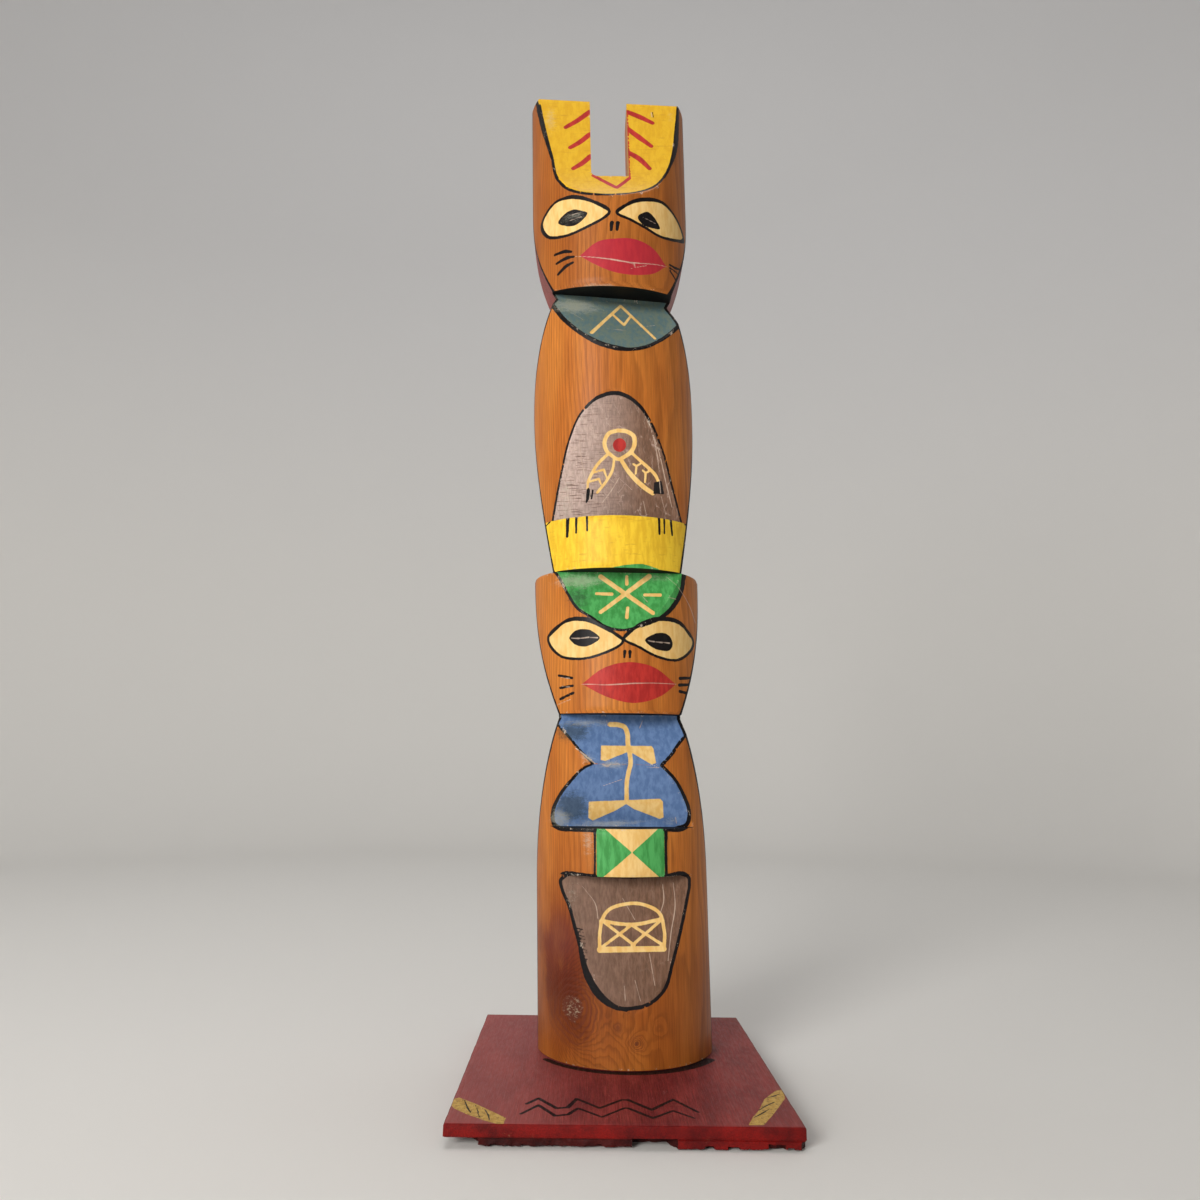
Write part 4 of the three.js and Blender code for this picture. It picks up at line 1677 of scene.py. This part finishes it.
@dataclass
class Finishes:
    """Every finish of the totem pole, made from the shared groups."""

    pole: Pole
    groups: dict[str, bpy.types.NodeTree] = field(default_factory=dict)
    pine: Wood = Wood(srgb(198, 121, 50), srgb(180, 103, 39), srgb(98, 50, 20),
                      (-46.0, 62.0, 0.0), 1.5)
    knots: tuple[Knot, ...] = (
        Knot((-22.0, -31.0, 23.0), 15.0, 22.0, 0.7),
        Knot((3.6, -39.0, 10.5), 4.0, 5.0, 0.75),
        Knot((-3.5, -39.0, 17.0), 2.6, 3.0, 0.35),
        Knot((13.0, -36.0, 16.0), 3.2, 3.0, 0.0),
    )
    coats: tuple[Paint, ...] = (
        Paint(YELLOW, srgb(240, 200, 54), srgb(222, 176, 42)),
        Paint(TEAL, srgb(88, 112, 116), srgb(106, 120, 108)),
        Paint(BROWN, srgb(122, 91, 73), srgb(106, 77, 59)),
        Paint(GREEN, srgb(82, 168, 92), srgb(60, 140, 68)),
        Paint(BLUE, srgb(104, 132, 176), srgb(84, 112, 156)),
        Paint(CREAM, srgb(236, 200, 132), srgb(226, 180, 104), 0.14),
        Paint(RED, srgb(184, 50, 44), srgb(158, 38, 36), 0.12),
        Paint(BLACK, srgb(12, 9, 11), srgb(22, 17, 18), 0.2, -0.04),
        Paint(BARE, srgb(206, 186, 168), srgb(186, 160, 144), 0.06, 0.02, 0.7),
    )

    def __post_init__(self) -> None:
        """Builds the shared groups once."""
        self.groups = {"timber": timber_group(), "knot": knot_group(), "brush": brush_group(),
                       "rub": rub_group(), "smudge": smudge_group()}

    # -- helpers

    def start(self, name: str, roughness: float, coat_weight: float, coat_roughness: float,
              specular: float = 0.35) -> tuple:
        """Starts a material whose shader has these constant values.

        Args:
            name: the material's name.
            roughness: roughness where nothing drives it.
            coat_weight: strength of the varnish over it.
            coat_roughness: roughness of the varnish.
            specular: strength of its reflections.

        Returns:
            The material, its Graph and its Principled shader.
        """
        material = bpy.data.materials.new(name)
        material.use_nodes = True
        tree = material.node_tree
        shader = tree.nodes["Principled BSDF"]
        shader.inputs["Roughness"].default_value = roughness
        shader.inputs["Specular IOR Level"].default_value = specular
        shader.inputs["Coat Weight"].default_value = coat_weight
        shader.inputs["Coat Roughness"].default_value = coat_roughness
        return material, Graph(tree), shader

    def place(self, g: Graph) -> bpy.types.NodeSocket:
        """Returns the place on the pole in its own frame in millimetres."""
        back = Matrix.Rotation(-self.pole.lean, 4, "Y")
        shift = back @ -Vector(self.pole.foot)
        coordinates = g.node("TexCoord").outputs["Object"]
        node = g.node("Mapping", {"Vector": coordinates, "Location": shift,
                                  "Rotation": (0, -self.pole.lean, 0), "Scale": (1 / MM,) * 3},
                      vector_type="POINT")
        return node.outputs["Vector"]

    def row_place(self, g: Graph) -> bpy.types.NodeSocket:
        """Returns the place in the row frame in millimetres."""
        return g.stretch(g.node("TexCoord").outputs["Object"], 1 / MM, 1 / MM, 1 / MM)

    def shade(self, g: Graph, colour, amount) -> bpy.types.NodeSocket:
        """Returns a colour multiplied by a number."""
        grey = g.node("CombineColor", {0: amount, 1: amount, 2: amount}).outputs[0]
        return g.mix(1.0, colour, grey, "MULTIPLY")

    def wood(self, g: Graph, place: bpy.types.NodeSocket, wood: Wood, bend=0.0) -> tuple:
        """Lays the wood figure.

        Args:
            g: the graph to add to.
            place: the place in millimetres.
            wood: the finish.
            bend: how far knots push the rings.

        Returns:
            Its colour and its group node.
        """
        figure = g.group(self.groups["timber"], Place=place, Pith=wood.pith, Spacing=wood.spacing,
                         Bend=bend)
        colour = g.mix(g.step(figure.outputs["Drift"], 0.34, 0.66), wood.light, wood.deep)
        colour = g.mix(g.times(figure.outputs["Ring"], 0.30), colour, wood.line)
        colour = self.shade(g, colour, g.step(figure.outputs["Fibre"], 0.35, 0.68, 0.84, 1.12))
        pore = g.step(figure.outputs["Pore"], 0.65, 0.78, 0.0, 0.35)
        return g.mix(pore, colour, wood.line), figure

    def rub(self, g: Graph, place, width: float, amount: float) -> bpy.types.Node:
        """Returns the edge wear: how far from an arris it reaches and how much there is."""
        return g.group(self.groups["rub"], Arris=g.field("arris"), Place=place, Width=width,
                       Amount=amount)

    def paint_over(self, g: Graph, colour, place, paint: Paint) -> tuple:
        """Lays one coat over a colour.

        Args:
            g: the graph to add to.
            colour: what is under it.
            place: the place in millimetres.
            paint: the coat.

        Returns:
            The new colour and the coat's mask.
        """
        mask = g.group(self.groups["brush"], Field=g.field(paint.coat.value), Place=place,
                       Wobble=paint.wobble, Missing=paint.missing).outputs["Mask"]
        tone = g.noise(place, 0.5, 0.5, 0.12, 3.0, 0.6)
        own = g.mix(g.step(tone, 0.35, 0.65), paint.colour, paint.second)
        cover = g.times(mask, paint.strength) if paint.strength < 1 else mask
        return g.mix(cover, colour, own), mask

    def knotted(self, g: Graph, place) -> tuple:
        """Lays the front's wood with its knots and the flame of dark wood round them, and paints
        shade onto the wood over the upper head and towards the foot.

        Args:
            g: the graph to add to.
            place: the place in millimetres.

        Returns:
            Its colour and its group node.
        """
        groups = [(k, g.group(self.groups["knot"], Place=place, Centre=k.centre, Radius=k.radius,
                              Push=k.push)) for k in self.knots]
        bend = groups[0][1].outputs["Bend"]
        for _, knot in groups[1:]:
            bend = g.plus(bend, knot.outputs["Bend"])
        colour, figure = self.wood(g, place, self.pine, bend)
        up = g.axis(place, "Z")
        # painted shade: the wood is darkened over the upper head and towards the foot
        ends = g.math("MAXIMUM", g.step(up, 338.0, 346.0), g.step(up, 20.0, 70.0, 1.0, 0.0))
        colour = g.mix(ends, colour, srgb(228, 221, 220), "MULTIPLY")
        flame = g.group(self.groups["knot"], Place=place, Centre=(-28.0, -27.0, 41.0), Radius=29.0,
                        Push=0.0).outputs["Tint"]
        breath = g.noise(place, 0.10, 0.10, 0.045, 3.0, 0.6)
        flame = g.times(flame, g.step(breath, 0.34, 0.60, 0.45, 1.0))
        colour = g.mix(flame, colour, srgb(160, 112, 100), "MULTIPLY")
        red = g.group(self.groups["knot"], Place=place, Centre=(-27.0, -28.0, 51.0), Radius=9.0,
                      Push=0.0).outputs["Tint"]
        colour = g.mix(g.times(red, 0.7), colour, srgb(104, 50, 44))
        colour = g.mix(g.times(groups[0][1].outputs["Tint"], 0.9), colour, srgb(188, 158, 150),
                       "MULTIPLY")
        for knot, group in groups:
            dark = g.times(group.outputs["Heart"], knot.heart)
            rings = g.times(group.outputs["Rings"], 0.62 if knot.heart else 0.15)
            colour = g.mix(rings, colour, srgb(96, 46, 30))
            colour = g.mix(dark, colour, srgb(88, 46, 34))
        grey = g.noise(place, 0.5, 0.5, 1.1, 4.0, 0.75)
        eye = g.times(groups[0][1].outputs["Heart"], g.step(grey, 0.54, 0.60, 0.0, 0.7))
        colour = g.mix(eye, colour, srgb(168, 150, 126))
        return colour, figure

    # -- materials

    def front(self) -> bpy.types.Material:
        """Returns the varnished wood front with all its paint."""
        material, g, shader = self.start("painted_front", 0.44, 0.03, 0.30, 0.16)
        place = self.place(g)
        colour, figure = self.knotted(g, place)
        masks = {}
        for paint in self.coats:
            colour, masks[paint.coat] = self.paint_over(g, colour, place, paint)
            if paint.coat is YELLOW:
                colour = self.yellow_tone(g, place, colour, masks[paint.coat])
            if paint.coat is BROWN:
                colour = self.crackle(g, place, colour, masks[paint.coat])
            if paint.coat is RED:
                up = g.axis(place, "Z")
                lips = g.times(g.step(up, 300.0, 320.0), g.step(up, 398.0, 402.0, 0.6, 0.0))
                colour = g.mix(g.times(masks[paint.coat], lips), colour, srgb(176, 44, 62))
        painted = masks[YELLOW]
        for coat in (TEAL, BROWN, GREEN, BLUE, CREAM, RED):
            painted = g.math("MAXIMUM", painted, masks[coat])
        colour = self.wear(g, place, colour)
        g.put(colour, shader.inputs["Base Color"])
        rough = g.plus(0.37, g.times(painted, 0.05))
        rough = g.plus(rough, g.times(figure.outputs["Pore"], 0.14))
        g.put(rough, shader.inputs["Roughness"])
        height = g.plus(g.times(figure.outputs["Fibre"], 0.5),
                        g.times(figure.outputs["Ring"], -0.35))
        height = g.plus(height, g.times(painted, 0.3))
        g.bump(shader, height, 0.5, 0.00012)
        return material

    def yellow_tone(self, g: Graph, place, colour, mask) -> bpy.types.NodeSocket:
        """Darkens the forehead's yellow to mustard and streaks the band's."""
        high = g.step(g.axis(place, "Z"), 300.0, 320.0)
        mustard = g.times(mask, g.times(high, 0.55))
        colour = g.mix(mustard, colour, srgb(202, 148, 22))
        streak = g.noise(place, 0.16, 0.16, 0.9, 3.0, 0.6)
        return g.mix(g.times(mask, g.step(streak, 0.56, 0.72, 0.0, 0.5)), colour,
                     srgb(190, 138, 40))

    def crackle(self, g: Graph, place, colour, mask) -> bpy.types.NodeSocket:
        """Wrinkles the brown paint with fine pale lines that run up the pole, and paints a pale
        sheen onto its left, mostly on the upper field.
        """
        warp = g.noise(place, 0.3, 0.3, 0.12, 3.0, 0.6)
        bent = g.vector("ADD", g.stretch(place, 0.34, 0.34, 0.07), g.node(
            "CombineXYZ", {"X": g.times(warp, 2.2)}).outputs[0])
        cells = g.node("TexVoronoi", {"Vector": bent, "Scale": 1.0}, feature="DISTANCE_TO_EDGE")
        line = g.step(cells.outputs["Distance"], 0.0, 0.05, 1.0, 0.0)
        upper = g.step(g.axis(place, "Z"), 180.0, 200.0, 0.12, 1.0)
        line = g.times(line, g.step(warp, 0.42, 0.62, 0.0, 0.42))
        line = g.times(line, upper)
        hair = g.noise(place, 0.16, 0.16, 2.4, 2.0, 0.6)
        left = g.step(g.axis(place, "X"), -22.0, 16.0, 1.0, 0.0)
        # painted sheen: the brown is made paler towards its left, strongest on the upper field
        sheen = g.times(g.times(left, upper), 0.70)
        colour = g.mix(g.times(mask, sheen), colour, srgb(212, 188, 178))
        hair = g.times(g.step(hair, 0.56, 0.63), g.times(left, 0.85))
        hair = g.times(hair, upper)
        pleat = g.step(g.noise(place, 1.3, 1.3, 0.07, 3.0, 0.65), 0.36, 0.64, 0.84, 1.12)
        colour = g.mix(mask, colour, self.shade(g, colour, pleat))
        colour = g.mix(g.times(mask, hair), colour, srgb(104, 76, 66))
        return g.mix(g.times(mask, line), colour, srgb(208, 184, 170))

    def wear(self, g: Graph, place, colour) -> bpy.types.NodeSocket:
        """Lays rubbed places, grime, pale arrises and dust specks over a colour."""
        rubbed = g.group(self.groups["smudge"], Amount=g.field("rubbed"), Place=place, Reach=0.42)
        grimed = g.group(self.groups["smudge"], Amount=g.field("grimed"), Place=place, Reach=0.46)
        colour = g.mix(g.times(grimed.outputs["Mask"], 0.62), colour, srgb(48, 56, 50))
        colour = g.mix(g.times(rubbed.outputs["Mask"], 0.45), colour, srgb(188, 186, 168))
        rub = self.rub(g, place, 0.9, -0.02)
        colour = g.mix(g.times(rub.outputs["Mask"], 0.8), colour, srgb(206, 190, 172))
        dust = g.noise(place, 1.4, 1.4, 0.9, 3.0, 0.7)
        return g.mix(g.step(dust, 0.735, 0.80, 0.0, 0.45), colour, srgb(222, 200, 172))

    def side(self) -> bpy.types.Material:
        """Returns the thin dark red paint of the pole's sides and back, worn to the wood."""
        material, g, shader = self.start("red_sides", 0.5, 0.08, 0.35)
        place = self.place(g)
        wood, figure = self.wood(g, place, self.pine)
        tone = g.noise(place, 0.2, 0.2, 0.05, 4.0, 0.6)
        red = g.mix(g.step(tone, 0.35, 0.66), srgb(142, 54, 52), srgb(108, 34, 36))
        thin = g.step(g.plus(figure.outputs["Ring"], figure.outputs["Pore"]), 0.9, 1.4, 1.0, 0.72)
        colour = g.mix(thin, wood, red)
        black = g.group(self.groups["brush"], Field=g.plus(g.field("black"), 0.3), Place=place,
                        Wobble=0.3, Missing=0.0)
        rub = self.rub(g, place, 1.4, 0.02)
        colour = g.mix(g.times(rub.outputs["Mask"], 0.75), colour, srgb(190, 130, 88))
        colour = g.mix(black.outputs["Mask"], colour, srgb(30, 24, 26))
        g.put(colour, shader.inputs["Base Color"])
        height = g.plus(figure.outputs["Fibre"], g.times(figure.outputs["Ring"], -0.6))
        g.bump(shader, height, 0.6, 0.0002)
        return material

    def ledge(self) -> bpy.types.Material:
        """Returns the near-black cross cuts under the chins and over the belt: black paint under
        the upper chin, and the same near-black as painted shade on the other cuts.
        """
        material, g, shader = self.start("ledges_black_paint_and_painted_shade", 0.6, 0.0, 0.3, 0.15)
        place = self.place(g)
        tone = g.noise(place, 0.8, 0.8, 0.8, 4.0, 0.6)
        # near-black: black paint under the upper chin, painted shade on the other cross cuts
        colour = g.mix(g.step(tone, 0.45, 0.75), srgb(9, 8, 9), srgb(30, 24, 22))
        g.put(colour, shader.inputs["Base Color"])
        return material

    def notch(self) -> bpy.types.Material:
        """Returns the yellow paint that runs into the notch over bare wood."""
        material, g, shader = self.start("notch_walls", 0.5, 0.08, 0.35)
        place = self.place(g)
        wood, figure = self.wood(g, place, self.pine)
        depth = g.plus(g.axis(place, "Y"), g.times(figure.outputs["Pore"], 6.0))
        paint = g.step(depth, -16.0, -10.0, 1.0, 0.0)
        colour = g.mix(paint, wood, srgb(206, 160, 52))
        g.put(colour, shader.inputs["Base Color"])
        return material

    def end_grain(self) -> bpy.types.Material:
        """Returns the sawn end grain of the top and foot."""
        material, g, shader = self.start("end_grain", 0.62, 0.05, 0.4)
        place = self.place(g)
        wood, figure = self.wood(g, place, self.pine)
        colour = g.mix(g.times(figure.outputs["Ring"], 0.5), wood, srgb(104, 54, 26))
        g.put(colour, shader.inputs["Base Color"])
        return material

    def board_red(self, name: str, light, deep, scuffed, wear: float) -> bpy.types.Material:
        """Returns the board's worn dark red paint over grain that runs front to back, with a
        painted sheen on the top towards both sides.

        Args:
            name: the material's name.
            light: its lighter red.
            deep: its deeper red.
            scuffed: the pale tone where it is scuffed.
            wear: how far the paint is gone along the edges.

        Returns:
            The material.
        """
        material, g, shader = self.start(name, 0.5, 0.02, 0.4, 0.12)
        place = self.row_place(g)
        turned = g.lay_down(place)
        figure = g.group(self.groups["timber"], Place=turned, Pith=(20.0, 0.0, -60.0), Spacing=2.6,
                         Bend=0.0)
        tone = g.noise(place, 0.09, 0.03, 0.1, 4.0, 0.6)
        colour = g.mix(g.step(tone, 0.34, 0.66), light, deep)
        colour = self.shade(g, colour, g.step(figure.outputs["Fibre"], 0.3, 0.72, 0.72, 1.22))
        scuff = g.noise(place, 0.9, 0.16, 0.9, 4.0, 0.7)
        colour = g.mix(g.step(scuff, 0.60, 0.78, 0.0, 0.45), colour, scuffed)
        if name == "board_top":
            across = g.axis(place, "X")
            # painted sheen: the top is made paler and pinker towards both sides, more on the left
            sides = g.math("MAXIMUM", g.step(across, -52.0, 0.0, 0.45, 0.0),
                           g.step(across, 12.0, 56.0, 0.0, 0.18))
            colour = self.board_marks(g, place, g.mix(sides, colour, srgb(180, 104, 100)))
        rub = self.rub(g, place, 1.5, wear)
        colour = g.mix(g.times(rub.outputs["Mask"], 0.6), colour, srgb(158, 112, 84))
        g.put(colour, shader.inputs["Base Color"])
        g.put(g.step(scuff, 0.3, 0.7, 0.42, 0.62), shader.inputs["Roughness"])
        height = g.plus(figure.outputs["Fibre"], g.times(scuff, 0.6))
        g.bump(shader, height, 0.7, 0.00025)
        return material

    def board_marks(self, g: Graph, place, colour) -> bpy.types.NodeSocket:
        """Lays the board's worn corner bars, zigzags and foot line over its red."""
        bar = Paint(YELLOW, srgb(206, 170, 92), srgb(184, 144, 72), 0.22, 0.02)
        line = Paint(BLACK, srgb(16, 9, 12), srgb(34, 16, 20), 0.2, -0.02)
        colour, mask = self.paint_over(g, colour, place, bar)
        crack = g.noise(place, 0.9, 0.5, 0.9, 4.0, 0.7)
        dark = g.times(mask, g.step(crack, 0.56, 0.66, 0.0, 0.75))
        colour = g.mix(dark, colour, srgb(86, 48, 36))
        colour, _ = self.paint_over(g, colour, place, line)
        speck = g.noise(place, 0.8, 0.8, 0.8, 3.0, 0.7)
        return g.mix(g.step(speck, 0.72, 0.78, 0.0, 0.7), colour, srgb(196, 150, 136))

    def board_bare(self) -> bpy.types.Material:
        """Returns the unpainted underside of the board."""
        material, g, shader = self.start("board_bare", 0.75, 0.0, 0.4)
        place = self.row_place(g)
        turned = g.lay_down(place)
        brown = Wood(srgb(110, 66, 48), srgb(84, 44, 34), srgb(52, 28, 22), (20.0, 0.0, -60.0), 2.6)
        colour, figure = self.wood(g, turned, brown)
        g.put(colour, shader.inputs["Base Color"])
        g.bump(shader, figure.outputs["Fibre"], 0.8, 0.0003)
        return material

    def for_pole(self) -> list[bpy.types.Material]:
        """Returns the pole's materials in the order of Surface."""
        return [self.front(), self.side(), self.ledge(), self.notch(), self.end_grain()]

    def for_board(self) -> list[bpy.types.Material]:
        """Returns the board's materials: top, edges, underside and broken faces."""
        top = self.board_red("board_top", srgb(140, 54, 52), srgb(110, 36, 38),
                             srgb(184, 118, 112), -0.08)
        edge = self.board_red("board_edge", srgb(124, 16, 12), srgb(84, 10, 10),
                              srgb(112, 36, 28), -0.08)
        # the broken faces get a much darker red than the edge: painted shade for the recess they
        # lie in
        broken = self.board_red("board_broken", srgb(72, 18, 16), srgb(44, 12, 12),
                                srgb(86, 40, 32), -0.2)
        return [top, edge, self.board_bare(), broken]


# ---- The studio -------------------------------------------------------------------------


@dataclass(frozen=True)
class Lamp:
    """One soft area light and the place that it looks at."""

    name: str
    place: tuple[float, float, float]
    size: float
    power: float
    colour: tuple[float, float, float] = (1.0, 1.0, 1.0)
    aim: tuple[float, float, float] = (0.0, 0.0, 0.2)


@dataclass
class Studio:
    """The pale floor, the soft lights and the camera."""

    floor_radius: float = 1.5
    wall_height: float = 2.3
    lamps: tuple[Lamp, ...] = (
        Lamp("key", (-0.62, -1.05, 0.5), 0.55, 13.5, (1.0, 0.985, 0.96)),
        Lamp("top", (-0.2, 0.1, 1.3), 1.0, 3.4),
        Lamp("wall", (0.0, 0.35, 1.7), 1.2, 5.0, aim=(0.0, 1.5, 0.85)),
    )
    sky: float = 0.05
    lens: float = 30.0
    sensor: float = 36.0
    eye: tuple[float, float, float] = (-13.603, -473.012, 125.725)
    right: tuple[float, float, float] = (0.999823, -0.009813, -0.016073)
    down: tuple[float, float, float] = (-0.014310, 0.158959, -0.987181)
    forward: tuple[float, float, float] = (0.012243, 0.987236, 0.158790)

    def floor(self) -> None:
        """Spins the floor and its curved-up edge."""
        bm = bmesh.new()
        fillet = 0.45
        profile = [(0.0, -0.0004), (self.floor_radius - fillet, -0.0004)]
        for n in range(1, 13):
            a = math.pi / 2 * n / 12
            profile.append((self.floor_radius - fillet + fillet * math.sin(a),
                            fillet * (1 - math.cos(a))))
        profile.append((self.floor_radius, self.wall_height))
        verts = [bm.verts.new((r, 0, z)) for r, z in profile]
        edges = [bm.edges.new(pair) for pair in zip(verts[:-1], verts[1:])]
        bmesh.ops.spin(bm, geom=[*verts, *edges], cent=(0, 0, 0), axis=(0, 0, 1),
                       angle=math.tau, steps=96, use_merge=True)
        bmesh.ops.remove_doubles(bm, verts=bm.verts, dist=1e-5)
        bmesh.ops.recalc_face_normals(bm, faces=bm.faces)
        for f in bm.faces:
            f.smooth = True
        mesh = to_mesh(bm, "floor")
        material = bpy.data.materials.new("pale_floor")
        material.use_nodes = True
        shader = material.node_tree.nodes["Principled BSDF"]
        shader.inputs["Roughness"].default_value = 0.85
        g = Graph(material.node_tree)
        height = g.axis(g.node("TexCoord").outputs["Object"], "Z")
        g.put(g.mix(g.step(height, 0.1, 1.2), srgb(228, 226, 222), srgb(214, 213, 213)),
              shader.inputs["Base Color"])
        mesh.materials.append(material)
        floor = bpy.data.objects.new("studio_floor", mesh)
        bpy.context.scene.collection.objects.link(floor)

    def lights(self) -> None:
        """Adds the soft lights and the pale surroundings."""
        for lamp in self.lamps:
            light = bpy.data.lights.new(lamp.name, "AREA")
            light.shape, light.size, light.energy = "DISK", lamp.size, lamp.power
            light.color = lamp.colour
            holder = bpy.data.objects.new(lamp.name, light)
            holder.location = lamp.place
            aim = Vector(lamp.aim) - Vector(lamp.place)
            holder.rotation_euler = aim.to_track_quat("-Z", "Y").to_euler()
            bpy.context.scene.collection.objects.link(holder)
        world = bpy.data.worlds.new("surroundings")
        world.use_nodes = True
        background = world.node_tree.nodes["Background"]
        background.inputs["Color"].default_value = (0.96, 0.97, 1.0, 1.0)
        background.inputs["Strength"].default_value = self.sky
        bpy.context.scene.world = world

    def camera(self, pole: Pole) -> None:
        """Places the camera, whose place is given in the pole's own frame."""
        data = bpy.data.cameras.new("view")
        data.lens, data.sensor_width = self.lens, self.sensor
        data.clip_start = 0.01
        turn = Matrix.Rotation(pole.lean, 3, "Y")
        axes = [turn @ Vector(self.right), -(turn @ Vector(self.down)),
                -(turn @ Vector(self.forward))]
        matrix = Matrix(axes).transposed().to_4x4()
        matrix.translation = pole.to_row() @ Vector(self.eye)
        camera = bpy.data.objects.new("view", data)
        camera.matrix_world = matrix
        bpy.context.scene.collection.objects.link(camera)
        bpy.context.scene.camera = camera

    def build(self, pole: Pole) -> None:
        """Makes the floor, the lights and the camera."""
        self.floor()
        self.lights()
        self.camera(pole)
        bpy.context.scene.view_settings.view_transform = "Standard"


def main() -> None:
    """Builds the studio, the pole and the board, and logs the size of the pole and of the board."""
    logging.basicConfig(level=logging.INFO, format="%(name)s: %(message)s")
    pole = Pole()
    Studio().build(pole)
    finishes = Finishes(pole)
    pole.build(finishes.for_pole())
    Board().build(finishes.for_board())


if __name__ == "__main__":
    main()
